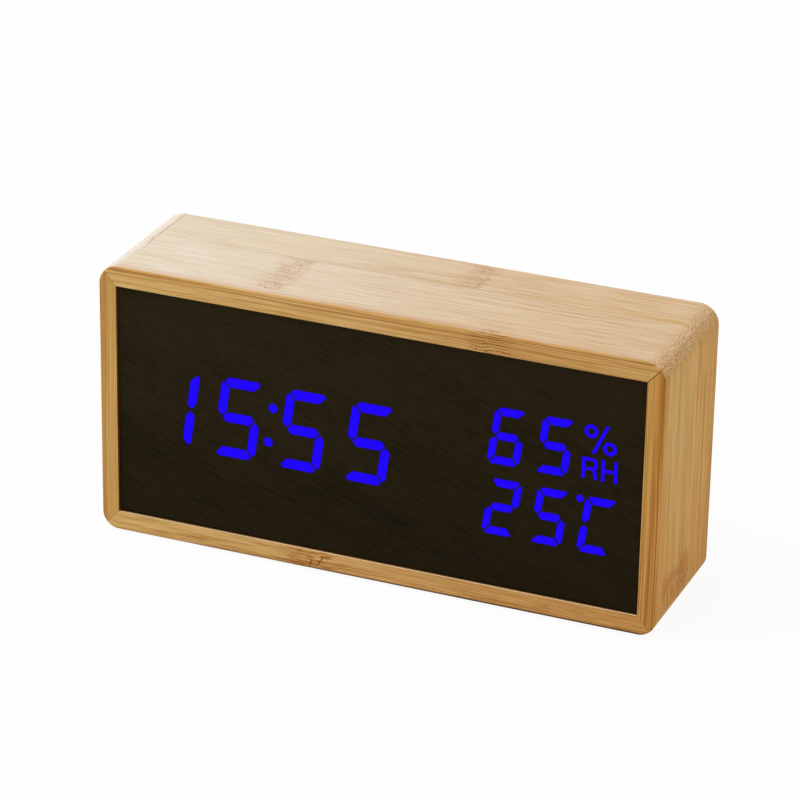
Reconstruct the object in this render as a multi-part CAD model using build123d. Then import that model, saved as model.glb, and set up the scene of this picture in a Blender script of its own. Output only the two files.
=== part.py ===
from build123d import *
import os
from math import radians, tan

# Bamboo desk alarm clock with a dark front panel and a lit seven-segment display.
# Millimetres. X runs to the right seen from the front, Y from front to back, Z up.
# The origin lies on the table, under the middle of the clock.

# Case of four mitred bamboo boards
case_width = 150.0
case_height = 73.0
case_depth = 40.0
side_board = 4.7
level_board = 5.2
top_corner_radius = 5.2
base_corner_radius = 4.5
edge_radius = 0.6
mitre_reach_share = 0.4

# Foot pads, let into the bottom board
pad_radius = 4.0
pad_thickness = 1.0
pad_stand = 0.6
pad_clearance = 0.15
pad_inset_x = 13.0
pad_inset_y = 9.0

# Corner blocks, glued inside the case
block_side = 6.0

# Front panel
panel_recess = 0.8
panel_thickness = 3.0
panel_clearance = 0.15

# Seven-segment digits, leaning to the right
digit_lean = 8.0
segment_gap = 0.3
segment_corner = 0.28
lens_clearance = 0.02
time_digit_height = 22.0
time_digit_width = 11.8
time_bar = 2.8
time_upright = 2.5
time_corner_cut = 2.0
climate_digit_height = 15.4
climate_digit_width = 8.6
climate_bar = 2.25
climate_upright = 2.0
climate_corner_cut = 1.4
lit_strokes = {"1": "bc", "2": "abdeg", "5": "acdfg", "6": "acdefg", "C": "adef"}

# Places of the digits on the panel
time_left_share = 0.1105
time_pitch = 17.7
time_rise = 0.75
colon_radius = 1.3
colon_rise = 4.75
climate_right_share = 0.0805
climate_pitch = 12.43
humidity_shift = 0.85
humidity_rise = 9.65
temperature_drop = 9.55

# Unit signs: per cent, two letters and the degree dot
percent_rise = 3.85
percent_ring_radius = 1.85
percent_ring_bore = 0.8
percent_ring_x = 2.45
percent_ring_z = 1.95
percent_slash_height = 7.8
percent_slash_run = 3.6
percent_slash_width = 1.1
letter_drop = 4.1
letter_height = 5.8
letter_width = 4.25
letter_pitch = 5.05
letter_stroke = 1.0
letter_bowl_height = 3.5
letter_bowl_cut = 0.9
letter_leg_lean = 0.45
degree_radius = 1.02
degree_shift = 4.7
degree_rise = 6.6

# Light boxes behind the panel
light_box_depth = 6.0
light_box_margin = 0.8
light_box_level_margin = 1.5
light_box_screw_margin = 3.0
cell_inset = 0.2

# Display board and its parts
board_sheet = 1.6
led_length = 1.2
led_width = 0.6
led_height = 0.7
led_spread_share = 0.24
driver_length = 18.0
driver_width = 7.5
driver_height = 2.0
driver_lead_count = 14
driver_place_share = -0.2
lead_width = 0.4
lead_reach = 1.2
lead_height = 0.5

# Board connectors and the ribbon between them
connector_length = 12.0
connector_width = 5.0
connector_height = 3.0
ribbon_width = 9.0
ribbon_thickness = 0.6
ribbon_insert = 1.5
ribbon_bend = 2.0
ribbon_shift = 14.0
ribbon_clearance = 0.05

# Rear cover
cover_recess = 1.6
cover_thickness = 2.4
cover_clearance = 0.2

# Battery compartment, moulded into the rear cover
cell_radius = 5.25
cell_length = 44.5
cell_count = 4
cell_clearance = 0.2
cell_cap_radius = 4.4
cell_cap_height = 0.5
cell_nub_radius = 1.9
cell_nub_height = 1.0
tub_wall = 1.5
tub_gap = 1.0
tub_rib_width = 0.8
tub_rib_height = 2.4
contact_thickness = 0.4
contact_width = 8.6
contact_height = 8.0
spring_length = 4.0
spring_radius = 2.6
spring_wire = 0.35
spring_turns = 3.0
lead_wire_radius = 0.6
lead_hole_clearance = 0.2
lead_bend = 1.5
lead_run = 8.0
lead_landing = 2.2
lead_inset = 3.0

# Battery door, hinged along its lower edge
door_thickness = 2.0
door_seat = 1.0
door_gap = 0.25
door_seat_gap = 0.1
hinge_pin_radius = 0.6
hinge_pin_length = 1.0
hinge_clearance = 0.05
hinge_end_gap = 0.2
scoop_radius = 6.0
scoop_depth = 1.3
grip_rib_count = 3
grip_rib_length = 12.0
grip_rib_width = 0.8
grip_rib_height = 0.4
grip_rib_pitch = 1.8
grip_rib_inset = 2.4

# Main board
main_board_height = 44.0
main_board_gap = 1.2
boss_radius = 3.0
boss_inset_x = 8.0
boss_inset_z = 3.6

# Keys and their switches
key_names = ("set", "up", "down")
key_length = 9.0
key_height = 5.5
key_proud = 0.8
key_clearance = 0.2
key_lip = 1.0
key_flange = 1.0
key_travel = 0.4
key_edge_radius = 0.4
key_mark_size = 1.6
key_mark_depth = 0.25
key_spacing = 2.0
key_order = (1, -1, 0)
key_row_share = 0.2
switch_side = 6.0
switch_body = 3.5
switch_stem = 1.5
plunger_radius = 1.7
plunger_clearance = 0.1
plunger_root = 0.4

# Charging socket
usb_width = 9.0
usb_height = 3.3
usb_wall = 0.35
usb_cavity_depth = 5.5
usb_tongue_width = 6.6
usb_tongue_height = 0.7
usb_tongue_short = 0.6
usb_clearance = 0.15
usb_pocket_width = 13.0
usb_pocket_height = 7.4
usb_pocket_depth = 1.2
usb_place_shares = (0.0, -0.34)

# Buzzer and its sound holes
buzzer_radius = 6.0
buzzer_height = 5.5
buzzer_mouth_radius = 1.2
buzzer_mouth_depth = 1.5
buzzer_place_shares = (0.31, -0.14)
sound_hole_radius = 0.8
sound_hole_count = 6
sound_ring_radius = 3.4

# Microphone and its rubber boot
microphone_radius = 3.0
microphone_height = 2.7
boot_wall = 1.0
boot_clearance = 0.05
microphone_hole_radius = 0.75
microphone_place_shares = (0.0, -0.09)

# Climate sensor and the vents over it
sensor_width = 12.0
sensor_height = 14.0
sensor_depth = 5.0
sensor_slot_count = 4
sensor_slot_length = 8.0
sensor_slot_width = 1.2
sensor_slot_depth = 2.0
sensor_slot_pitch = 2.9
sensor_place_shares = (-0.28, -0.12)
vent_count = 5
vent_length = 12.0
vent_width = 1.4
vent_pitch = 3.0

# Backup cell in its holder
backup_radius = 10.0
backup_height = 3.2
holder_wall = 1.4
holder_floor = 0.8
holder_clearance = 0.2
holder_notch = 8.0
backup_place_shares = (0.2, 0.0)

# Controller chip, clock crystal and capacitors
controller_side = 10.0
controller_height = 1.4
controller_lead_count = 11
controller_place_shares = (-0.24, 0.2)
crystal_radius = 1.5
crystal_length = 8.0
crystal_place_shares = (-0.24, -0.03)
capacitor_radius = 2.5
capacitor_height = 7.0
capacitor_place_shares = ((-0.42, -0.04), (-0.42, -0.2))
connector_place_shares = (-0.2, -0.3)

# Screws: larger ones hold the rear cover, smaller ones the two boards
cover_screw_head_radius = 2.0
cover_screw_head_height = 1.4
cover_screw_radius = 1.1
cover_screw_length = 9.0
cover_screw_sink = 0.1
board_screw_head_radius = 1.9
board_screw_head_height = 1.2
board_screw_radius = 0.9
board_screw_length = 5.0
board_screw_inset = 2.1
screw_clearance = 0.2
pilot_clearance = 0.03
pilot_tip = 0.6
drive_width_share = 0.2
drive_length_share = 1.2
drive_depth_share = 0.6

# Cuts run past the faces they open by this much
overrun = 1.0

# Planes of the case
front_y = -case_depth / 2
back_y = case_depth / 2
base_z = pad_stand
top_z = base_z + case_height
middle_z = base_z + case_height / 2
inner_x = case_width / 2 - side_board
inner_low_z = base_z + level_board
inner_high_z = top_z - level_board

# Planes of the display, from the front
panel_front_y = front_y + panel_recess
panel_back_y = panel_front_y + panel_thickness
light_back_y = panel_back_y + light_box_depth
display_back_y = light_back_y + board_sheet
panel_x = inner_x - panel_clearance

# Planes of the rear cover and the main board, from the back
cover_back_y = back_y - cover_recess
cover_front_y = cover_back_y - cover_thickness
key_front_y = cover_front_y - key_flange
main_back_y = key_front_y - switch_stem - switch_body
main_front_y = main_back_y - board_sheet
lead_y = main_back_y + lead_bend + lead_wire_radius

# Battery compartment and door, and the main board beside them
cell_pitch = 2 * (cell_radius + cell_clearance)
tub_length = cell_length + spring_length + 2 * contact_thickness
tub_height = cell_count * cell_pitch
tub_left_x = -inner_x + block_side + tub_gap + tub_wall
tub_right_x = tub_left_x + tub_length
tub_x = (tub_left_x + tub_right_x) / 2
main_left_x = tub_right_x + tub_wall + lead_run
main_right_x = inner_x - block_side - main_board_gap
main_board_width = main_right_x - main_left_x
main_x = (main_left_x + main_right_x) / 2
tub_low_z = middle_z - tub_height / 2
tub_high_z = middle_z + tub_height / 2
door_front_y = cover_back_y - door_thickness
seat_y = door_front_y - door_seat_gap
cell_y = door_front_y - cell_clearance - cell_radius
tub_floor_y = cell_y - cell_radius - cell_clearance
hinge_y = cover_back_y - door_thickness / 2
hinge_z = tub_low_z - door_seat + door_gap + door_thickness / 2


# Shapes that many pieces share


def block(x_ends, y_ends, z_ends):
    """Box between two limits on each axis."""
    ends = (x_ends, y_ends, z_ends)
    sizes = [abs(high - low) for low, high in ends]
    middles = [(low + high) / 2 for low, high in ends]
    return Pos(*middles) * Box(*sizes)


def rod(x, z, y_from, y_to, radius):
    """Round bar along Y."""
    return Pos(x, (y_from + y_to) / 2, z) * Rot(90, 0, 0) * Cylinder(radius, abs(y_to - y_from))


def upright(sketch, x=0, z=0):
    """Sketch turned up into the XZ plane and moved to a place on it."""
    return Pos(x, 0, z) * Rot(90, 0, 0) * sketch


def prism(face, y_from, y_to):
    """Solid over a face of the XZ plane, from one depth to another."""
    return extrude(Pos(0, y_from, 0) * face, amount=y_to - y_from, dir=(0, 1, 0))


def outline(points):
    """Face of the XZ plane through (x, z) points."""
    return make_face(Polyline(*[(x, 0, z) for x, z in points], close=True))


def in_row(count, pitch):
    """Places of a row about its middle."""
    return [(number - (count - 1) / 2) * pitch for number in range(count)]


def on_main_board(shares):
    """Place on the main board, from shares of its sides."""
    return main_x + shares[0] * main_board_width, middle_z + shares[1] * main_board_height


def screw(head_radius, head_height, radius, length):
    """Pan-head screw with a cross drive, its head on y 0 and its shank along -Y."""
    head = rod(0, 0, 0, head_height, head_radius)
    rim = head.edges().filter_by(GeomType.CIRCLE).sort_by(Axis.Y)[-1]
    head = fillet(rim, head_height / 2)
    width = head_radius * drive_width_share
    reach = head_radius * drive_length_share
    depth = head_height * drive_depth_share
    for wide, tall in ((reach, width), (width, reach)):
        head -= Pos(0, head_height, 0) * Box(wide, 2 * depth, tall)
    return head + rod(0, 0, 0, -length, radius)


def board_screw():
    return screw(board_screw_head_radius, board_screw_head_height, board_screw_radius, board_screw_length)


nodes = {}


# Case


def case_ring():
    """The four boards together, with rounded corners and eased edges."""
    corners = Rectangle(case_width, case_height)
    corners = fillet(corners.vertices().sort_by(Axis.Y)[2:], top_corner_radius)
    corners = fillet(corners.vertices().sort_by(Axis.Y)[:2], base_corner_radius)
    shell = prism(upright(corners, 0, middle_z), front_y, back_y)
    rims = shell.faces().sort_by(Axis.Y)
    shell = fillet(rims[0].edges() + rims[-1].edges(), edge_radius)
    hollow = block((-inner_x, inner_x), (front_y - overrun, back_y + overrun), (inner_low_z, inner_high_z))
    return shell - hollow


def mitre_wedge(corner_a, corner_b):
    """Prism that holds the board between two neighbouring corners of the case."""
    reach = mitre_reach_share
    ends = []
    for side_x, side_z in (corner_a, corner_b):
        outer = (side_x * case_width / 2, middle_z + side_z * case_height / 2)
        inner = (side_x * inner_x, middle_z + side_z * (inner_high_z - inner_low_z) / 2)
        step = (outer[0] - inner[0], outer[1] - inner[1])
        far = (outer[0] + reach * step[0], outer[1] + reach * step[1])
        near = (inner[0] - reach * step[0], inner[1] - reach * step[1])
        ends.append((far, near))
    points = (ends[0][0], ends[1][0], ends[1][1], ends[0][1])
    return prism(outline(points), front_y - overrun, back_y + overrun)


pad_places = [
    (side_x * (case_width / 2 - pad_inset_x), side_y * (case_depth / 2 - pad_inset_y))
    for side_x in (-1, 1)
    for side_y in (-1, 1)
]


def pad_disc(radius, low_z, high_z):
    return [
        Pos(x, y, (low_z + high_z) / 2) * Cylinder(radius, high_z - low_z) for x, y in pad_places
    ]


ring = case_ring()
nodes["case_top"] = ring & mitre_wedge((-1, 1), (1, 1))
nodes["case_left"] = ring & mitre_wedge((-1, -1), (-1, 1))
nodes["case_right"] = ring & mitre_wedge((1, 1), (1, -1))
bottom_board = ring & mitre_wedge((1, -1), (-1, -1))
nodes["case_bottom"] = bottom_board - pad_disc(pad_radius + pad_clearance, base_z - overrun, pad_thickness)
nodes["foot_pads"] = pad_disc(pad_radius, 0, pad_thickness)


# Corner blocks carry the panel on their front ends and the rear cover on their back ends

block_levels_z = (inner_low_z + block_side / 2, inner_high_z - block_side / 2)
block_places = [(side * (inner_x - block_side / 2), z) for side in (-1, 1) for z in block_levels_z]
cover_screw_seat_y = cover_back_y - cover_screw_head_height - cover_screw_sink


def corner_block(x, z):
    half = block_side / 2
    body = block((x - half, x + half), (panel_back_y, cover_front_y), (z - half, z + half))
    pilot_end_y = cover_screw_seat_y - cover_screw_length - pilot_tip
    return body - rod(x, z, pilot_end_y, cover_front_y + overrun, cover_screw_radius + pilot_clearance)


nodes["corner_blocks"] = [corner_block(x, z) for x, z in block_places]
cover_screw = screw(
    cover_screw_head_radius, cover_screw_head_height, cover_screw_radius, cover_screw_length
)
nodes["rear_cover_screws"] = [Pos(x, cover_screw_seat_y, z) * cover_screw for x, z in block_places]


# Display: outlines of all segments and signs


def digit_segments(height, width, bar, side, cut):
    """The seven segment faces of one digit about its own centre, by letter."""
    x = (width + segment_gap) / 2
    z = (height + segment_gap) / 2
    bar = bar + segment_gap
    side = side + segment_gap
    top = [
        (side - x, z - bar), (cut / 2 - x, z - cut / 2), (cut - x, z),
        (x - cut, z), (x - cut / 2, z - cut / 2), (x - side, z - bar),
    ]
    high_left = [
        (cut / 2 - x, z - cut / 2), (-x, z - cut), (-x, bar / 2),
        (side / 2 - x, 0), (side - x, bar / 2), (side - x, z - bar),
    ]
    centre = [
        (side / 2 - x, 0), (side - x, bar / 2), (x - side, bar / 2),
        (x - side / 2, 0), (x - side, -bar / 2), (side - x, -bar / 2),
    ]
    flips = {
        "a": (top, 1, 1), "b": (high_left, -1, 1), "c": (high_left, -1, -1), "d": (top, 1, -1),
        "e": (high_left, 1, -1), "f": (high_left, 1, 1), "g": (centre, 1, 1),
    }
    lean = tan(radians(digit_lean))
    faces = {}
    for letter, (points, flip_x, flip_z) in flips.items():
        leaning = [(flip_x * u + flip_z * v * lean, flip_z * v) for u, v in points]
        face = offset(outline(leaning), -segment_gap / 2, kind=Kind.INTERSECTION)
        faces[letter] = fillet(face.vertices(), segment_corner)
    return faces


def percent_sign(x, z):
    """Two rings and the slash between them."""
    ring_face = Circle(percent_ring_radius) - Circle(percent_ring_bore)
    high = upright(ring_face, x - percent_ring_x, z + percent_ring_z)
    low = upright(ring_face, x + percent_ring_x, z - percent_ring_z)
    run = percent_slash_run / 2
    width = percent_slash_width / 2
    rise = percent_slash_height / 2
    slash = outline([
        (x - run - width, z - rise), (x - run + width, z - rise),
        (x + run + width, z + rise), (x + run - width, z + rise),
    ])
    return [high, low, slash]


def letter_r(x, z):
    """Stem, bowl with its corners cut, and a leaning leg."""
    side = letter_width / 2
    head = letter_height / 2
    bowl_foot = head - letter_bowl_height
    waist = bowl_foot + letter_bowl_cut - letter_leg_lean
    body = Polygon(
        (-side, -head),
        (-side + letter_stroke, -head),
        (-side + letter_stroke, bowl_foot),
        (side - letter_leg_lean - letter_stroke, bowl_foot),
        (side - letter_stroke, -head),
        (side, -head),
        (side - letter_leg_lean, waist),
        (side, bowl_foot + letter_bowl_cut),
        (side, head - letter_bowl_cut),
        (side - letter_bowl_cut, head),
        (-side, head),
        align=None,
    )
    hole = Rectangle(letter_width - 2 * letter_stroke, letter_bowl_height - 2 * letter_stroke)
    shape = body - Pos(0, head - letter_bowl_height / 2, 0) * hole
    return upright(shape, x, z)


def letter_h(x, z):
    """Two stems and the bar between them."""
    side = (letter_width - letter_stroke) / 2
    shape = Rectangle(letter_width, letter_stroke)
    for place in (-side, side):
        shape += Pos(place, 0, 0) * Rectangle(letter_stroke, letter_height)
    return upright(shape, x, z)


time_segments = digit_segments(
    time_digit_height, time_digit_width, time_bar, time_upright, time_corner_cut
)
climate_segments = digit_segments(
    climate_digit_height, climate_digit_width, climate_bar, climate_upright, climate_corner_cut
)
time_first_x = 2 * panel_x * time_left_share - panel_x
time_z = middle_z + time_rise
unit_x = panel_x - 2 * panel_x * climate_right_share
humidity_z = middle_z + humidity_rise
temperature_z = middle_z - temperature_drop
humidity_x = unit_x + humidity_shift

time_digits = [
    (figure, time_first_x + number * time_pitch, time_z) for number, figure in enumerate("1555")
]
climate_digits = [
    ("6", humidity_x - 2 * climate_pitch, humidity_z),
    ("5", humidity_x - climate_pitch, humidity_z),
    ("2", unit_x - 2 * climate_pitch, temperature_z),
    ("5", unit_x - climate_pitch, temperature_z),
    ("C", unit_x, temperature_z),
]


def sort_segments(digits, segments):
    """Segment faces of a group of digits at their places, as lit ones and dark ones."""
    lit, dark = [], []
    for figure, x, z in digits:
        for letter, face in segments.items():
            group = lit if letter in lit_strokes[figure] else dark
            group.append(Pos(x, 0, z) * face)
    return lit, dark


time_lit, time_dark = sort_segments(time_digits, time_segments)
climate_lit, climate_dark = sort_segments(climate_digits, climate_segments)

lean_step = tan(radians(digit_lean)) * colon_rise
colon_x = time_first_x + 3 * time_pitch / 2
colon_places = [(colon_x + side * lean_step, time_z + side * colon_rise) for side in (-1, 1)]
colon_faces = [upright(Circle(colon_radius), x, z) for x, z in colon_places]
degree_place = (unit_x - degree_shift, temperature_z + degree_rise)
percent_place = (unit_x, humidity_z + percent_rise)
letters_z = humidity_z - letter_drop
sign_faces = percent_sign(*percent_place)
sign_faces.append(letter_r(unit_x - letter_pitch / 2, letters_z))
sign_faces.append(letter_h(unit_x + letter_pitch / 2, letters_z))
sign_faces.append(upright(Circle(degree_radius), *degree_place))

lens_groups = {
    "time_segments_lit": time_lit,
    "time_segments_dark": time_dark,
    "colon_dots": colon_faces,
    "climate_segments_lit": climate_lit,
    "climate_segments_dark": climate_dark,
    "unit_signs": sign_faces,
}
panel_sheet = block(
    (-panel_x, panel_x),
    (panel_front_y, panel_back_y),
    (inner_low_z + panel_clearance, inner_high_z - panel_clearance),
)
windows = []
for name, faces in lens_groups.items():
    windows += [prism(face, panel_front_y - overrun, panel_back_y + overrun) for face in faces]
    nodes[name] = [
        prism(offset(face, -lens_clearance, kind=Kind.INTERSECTION), panel_front_y, panel_back_y)
        for face in faces
    ]
nodes["front_panel"] = panel_sheet - windows


# Light boxes: a block behind each group of digits with one cell for each segment or sign


def box_limits(digits, height, width, left_margin, right_margin):
    """Limits in X and Z of the block behind a group of digits."""
    reach_x = width / 2 + tan(radians(digit_lean)) * height / 2
    reach_z = height / 2 + light_box_level_margin
    places_x = [x for figure, x, z in digits]
    places_z = [z for figure, x, z in digits]
    return (
        (min(places_x) - reach_x - left_margin, max(places_x) + reach_x + right_margin),
        (min(places_z) - reach_z, max(places_z) + reach_z),
    )


def box_screw_places(limits, side):
    """Places of the two screws at one end of a light box."""
    x = limits[0][side] + (1 - 2 * side) * board_screw_inset
    return [(x, limits[1][0] + board_screw_inset), (x, limits[1][1] - board_screw_inset)]


def light_box(limits, faces, screw_places):
    """Block with open cells and pilot holes."""
    body = block(limits[0], (panel_back_y, light_back_y), limits[1])
    ends = (panel_back_y - overrun, light_back_y + overrun)
    cuts = [prism(offset(face, -cell_inset, kind=Kind.INTERSECTION), *ends) for face in faces]
    pilot_end_y = display_back_y - board_screw_length - pilot_tip
    pilot_radius = board_screw_radius + pilot_clearance
    cuts += [rod(x, z, pilot_end_y, light_back_y + overrun, pilot_radius) for x, z in screw_places]
    return body - cuts


time_limits = box_limits(
    time_digits, time_digit_height, time_digit_width, light_box_screw_margin, light_box_margin
)
climate_limits = box_limits(
    climate_digits, climate_digit_height, climate_digit_width, light_box_margin, light_box_screw_margin
)
time_screw_places = box_screw_places(time_limits, 0)
climate_screw_places = box_screw_places(climate_limits, 1)
percent_cell = upright(
    Rectangle(2 * (percent_ring_x + percent_ring_radius), percent_slash_height), *percent_place
)
letter_cell = upright(Rectangle(letter_pitch + letter_width, letter_height), unit_x, letters_z)
climate_cells = climate_lit + climate_dark + [percent_cell, letter_cell, sign_faces[-1]]
nodes["time_light_box"] = light_box(time_limits, time_lit + time_dark + colon_faces, time_screw_places)
nodes["climate_light_box"] = light_box(climate_limits, climate_cells, climate_screw_places)


# Display board


def led(x, z):
    half_x, half_z = led_length / 2, led_width / 2
    depths = (light_back_y - led_height, light_back_y)
    return block((x - half_x, x + half_x), depths, (z - half_z, z + half_z))


def row_of_leads(count, length, depth, y_from, y_to):
    """Leads along the two long sides of a chip about its own centre."""
    pitch = length / count
    inner = depth / 2
    outer = inner + lead_reach
    leads = []
    for x in in_row(count, pitch):
        span = (x - lead_width / 2, x + lead_width / 2)
        leads.append(block(span, (y_from, y_to), (inner, outer)))
        leads.append(block(span, (y_from, y_to), (-outer, -inner)))
    return leads


board_x_ends = (time_limits[0][0], climate_limits[0][1])
board_z_ends = (min(time_limits[1][0], climate_limits[1][0]), max(time_limits[1][1], climate_limits[1][1]))
display_x = sum(board_x_ends) / 2
display_screw_places = time_screw_places + climate_screw_places
display_sheet = block(board_x_ends, (light_back_y, display_back_y), board_z_ends)
display_holes = [
    rod(x, z, light_back_y - overrun, display_back_y + overrun, board_screw_radius + screw_clearance)
    for x, z in display_screw_places
]
nodes["display_board"] = display_sheet - display_holes
nodes["display_board_screws"] = [
    Pos(x, display_back_y, z) * board_screw() for x, z in display_screw_places
]

led_places = list(colon_places) + [degree_place, percent_place]
led_places += [(unit_x - letter_pitch / 2, letters_z), (unit_x + letter_pitch / 2, letters_z)]
led_places += [(face.center().X, face.center().Z) for face in climate_lit + climate_dark]
for face in time_lit + time_dark:
    middle = face.center()
    size = face.bounding_box().size
    spread_x = led_spread_share * size.X if size.X > size.Z else 0
    spread_z = led_spread_share * size.Z if size.Z > size.X else 0
    lean_x = spread_z * tan(radians(digit_lean))
    for side in (-1, 1):
        led_places.append((middle.X + side * (spread_x + lean_x), middle.Z + side * spread_z))
nodes["display_leds"] = [led(x, z) for x, z in led_places]

driver_x = display_x + driver_place_share * (board_x_ends[1] - board_x_ends[0])
driver_move = Pos(driver_x, 0, middle_z)
nodes["display_driver_chip"] = driver_move * block(
    (-driver_length / 2, driver_length / 2),
    (display_back_y, display_back_y + driver_height),
    (-driver_width / 2, driver_width / 2),
)
nodes["display_driver_leads"] = [
    driver_move * lead
    for lead in row_of_leads(
        driver_lead_count, driver_length, driver_width, display_back_y, display_back_y + lead_height
    )
]


# Connectors and ribbon


def connector(x, z, y_from, y_to, mouth_y):
    """Board connector with a slot for the ribbon's end."""
    half_x, half_z = connector_width / 2, connector_length / 2
    body = block((x - half_x, x + half_x), (y_from, y_to), (z - half_z, z + half_z))
    slot_x = ribbon_thickness / 2 + ribbon_clearance
    slot_z = ribbon_width / 2 + ribbon_clearance
    inward = 1 if mouth_y == y_from else -1
    slot_ends = (mouth_y - inward * overrun, mouth_y + inward * (ribbon_insert + ribbon_clearance))
    return body - block((x - slot_x, x + slot_x), slot_ends, (z - slot_z, z + slot_z))


plug_x, plug_z = on_main_board(connector_place_shares)
display_plug_x = plug_x + ribbon_shift
display_mouth_y = display_back_y + connector_height
main_mouth_y = main_front_y - connector_height
nodes["display_connector"] = connector(
    display_plug_x, plug_z, display_back_y, display_mouth_y, display_mouth_y
)
nodes["main_connector"] = connector(plug_x, plug_z, main_mouth_y, main_front_y, main_mouth_y)
ribbon_start_y = display_mouth_y - ribbon_insert
ribbon_end_y = main_mouth_y + ribbon_insert
ribbon_middle_y = (ribbon_start_y + ribbon_end_y) / 2
ribbon_path = FilletPolyline(
    (display_plug_x, ribbon_start_y, plug_z),
    (display_plug_x, ribbon_middle_y, plug_z),
    (plug_x, ribbon_middle_y, plug_z),
    (plug_x, ribbon_end_y, plug_z),
    radius=ribbon_bend,
)
ribbon_section = upright(Rectangle(ribbon_thickness, ribbon_width), display_plug_x, plug_z)
nodes["ribbon_cable"] = sweep(Pos(0, ribbon_start_y, 0) * ribbon_section, path=ribbon_path)


# Main board and what stands on it

boss_reach_x = main_board_width / 2 - boss_inset_x
boss_reach_z = main_board_height / 2 - boss_inset_z
boss_places = [
    (main_x + side_x * boss_reach_x, middle_z + side_z * boss_reach_z)
    for side_x in (-1, 1)
    for side_z in (-1, 1)
]
main_sheet = block(
    (main_left_x, main_right_x),
    (main_front_y, main_back_y),
    (middle_z - main_board_height / 2, middle_z + main_board_height / 2),
)
main_holes = [
    rod(x, z, main_front_y - overrun, main_back_y + overrun, board_screw_radius + screw_clearance)
    for x, z in boss_places
]
nodes["main_board"] = main_sheet - main_holes
nodes["main_board_screws"] = [
    Pos(x, main_front_y, z) * Rot(0, 0, 180) * board_screw() for x, z in boss_places
]

controller_x, controller_z = on_main_board(controller_place_shares)
controller_move = Pos(controller_x, 0, controller_z)
nodes["controller_chip"] = controller_move * block(
    (-controller_side / 2, controller_side / 2),
    (main_front_y - controller_height, main_front_y),
    (-controller_side / 2, controller_side / 2),
)
controller_leads = row_of_leads(
    controller_lead_count, controller_side, controller_side, main_front_y - lead_height, main_front_y
)
nodes["controller_leads"] = [
    controller_move * Rot(0, turn, 0) * lead for turn in (0, 90) for lead in controller_leads
]

crystal_x, crystal_z = on_main_board(crystal_place_shares)
crystal_can = Rot(0, 90, 0) * Cylinder(crystal_radius, crystal_length)
nodes["clock_crystal"] = Pos(crystal_x, main_front_y - crystal_radius, crystal_z) * crystal_can
nodes["supply_capacitors"] = [
    rod(*on_main_board(shares), main_front_y - capacitor_height, main_front_y, capacitor_radius)
    for shares in capacitor_place_shares
]


# Backup cell on the front of the main board

backup_x, backup_z = on_main_board(backup_place_shares)
holder_bore = backup_radius + holder_clearance
holder_radius = holder_bore + holder_wall
backup_back_y = main_front_y - holder_floor
holder_front_y = backup_back_y - backup_height
holder = rod(backup_x, backup_z, holder_front_y, main_front_y, holder_radius)
holder -= rod(backup_x, backup_z, holder_front_y - overrun, backup_back_y, holder_bore)
holder -= block(
    (backup_x - holder_notch / 2, backup_x + holder_notch / 2),
    (holder_front_y - overrun, backup_back_y),
    (backup_z, backup_z + holder_radius + overrun),
)
nodes["backup_cell_holder"] = holder
nodes["backup_cell"] = rod(backup_x, backup_z, holder_front_y, backup_back_y, backup_radius)


# Keys: a cap with a flange behind the cover, on the plunger of its switch

key_pitch = key_length + 2 * key_lip + key_spacing
key_z = middle_z + key_row_share * main_board_height
key_places = {name: (main_x + step * key_pitch, key_z) for name, step in zip(key_names, key_order)}
key_back_y = cover_back_y + key_proud


def key_mark(name):
    """Sign sunk in the key's face, seen from behind: a ring, or an arrow up or down."""
    if name == "set":
        return upright(Circle(key_mark_size / 2) - Circle(key_mark_size / 4))
    side = 1 if name == "up" else -1
    rise = side * key_mark_size / 2
    return outline([(-key_mark_size / 2, -rise), (key_mark_size / 2, -rise), (0, rise)])


def key_cap(name, x, z):
    cap = prism(upright(SlotOverall(key_length, key_height), x, z), cover_front_y, key_back_y)
    rim = cap.faces().sort_by(Axis.Y)[-1]
    cap = fillet(rim.edges(), key_edge_radius)
    flange_face = SlotOverall(key_length + 2 * key_lip, key_height + 2 * key_lip)
    cap += prism(upright(flange_face, x, z), key_front_y, cover_front_y)
    mark = Pos(x, 0, z) * key_mark(name)
    return cap - prism(mark, key_back_y - key_mark_depth, key_back_y + overrun)


def key_switch(x, z):
    """Switch body with the bore that its plunger sinks into."""
    half = switch_side / 2
    top_y = main_back_y + switch_body
    body = block((x - half, x + half), (main_back_y, top_y), (z - half, z + half))
    bore_y = top_y - plunger_root - key_travel - plunger_clearance
    return body - rod(x, z, bore_y, top_y + overrun, plunger_radius + plunger_clearance)


for name, (x, z) in key_places.items():
    nodes[name + "_key"] = key_cap(name, x, z)
    plunger_y = main_back_y + switch_body - plunger_root
    nodes[name + "_switch_plunger"] = rod(x, z, plunger_y, key_front_y, plunger_radius)
nodes["key_switches"] = [key_switch(x, z) for x, z in key_places.values()]


# Charging socket

usb_x, usb_z = on_main_board(usb_place_shares)
usb_mouth_y = cover_back_y - usb_pocket_depth
usb_floor_y = usb_mouth_y - usb_cavity_depth
usb_face = upright(SlotOverall(usb_width, usb_height), usb_x, usb_z)
usb_hollow = upright(SlotOverall(usb_width - 2 * usb_wall, usb_height - 2 * usb_wall), usb_x, usb_z)
usb_shell = prism(usb_face, main_back_y, usb_mouth_y)
nodes["usb_socket_shell"] = usb_shell - prism(usb_hollow, usb_floor_y, usb_mouth_y + overrun)
nodes["usb_socket_tongue"] = block(
    (usb_x - usb_tongue_width / 2, usb_x + usb_tongue_width / 2),
    (usb_floor_y, usb_mouth_y - usb_tongue_short),
    (usb_z - usb_tongue_height / 2, usb_z + usb_tongue_height / 2),
)


# Buzzer, microphone and climate sensor

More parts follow.
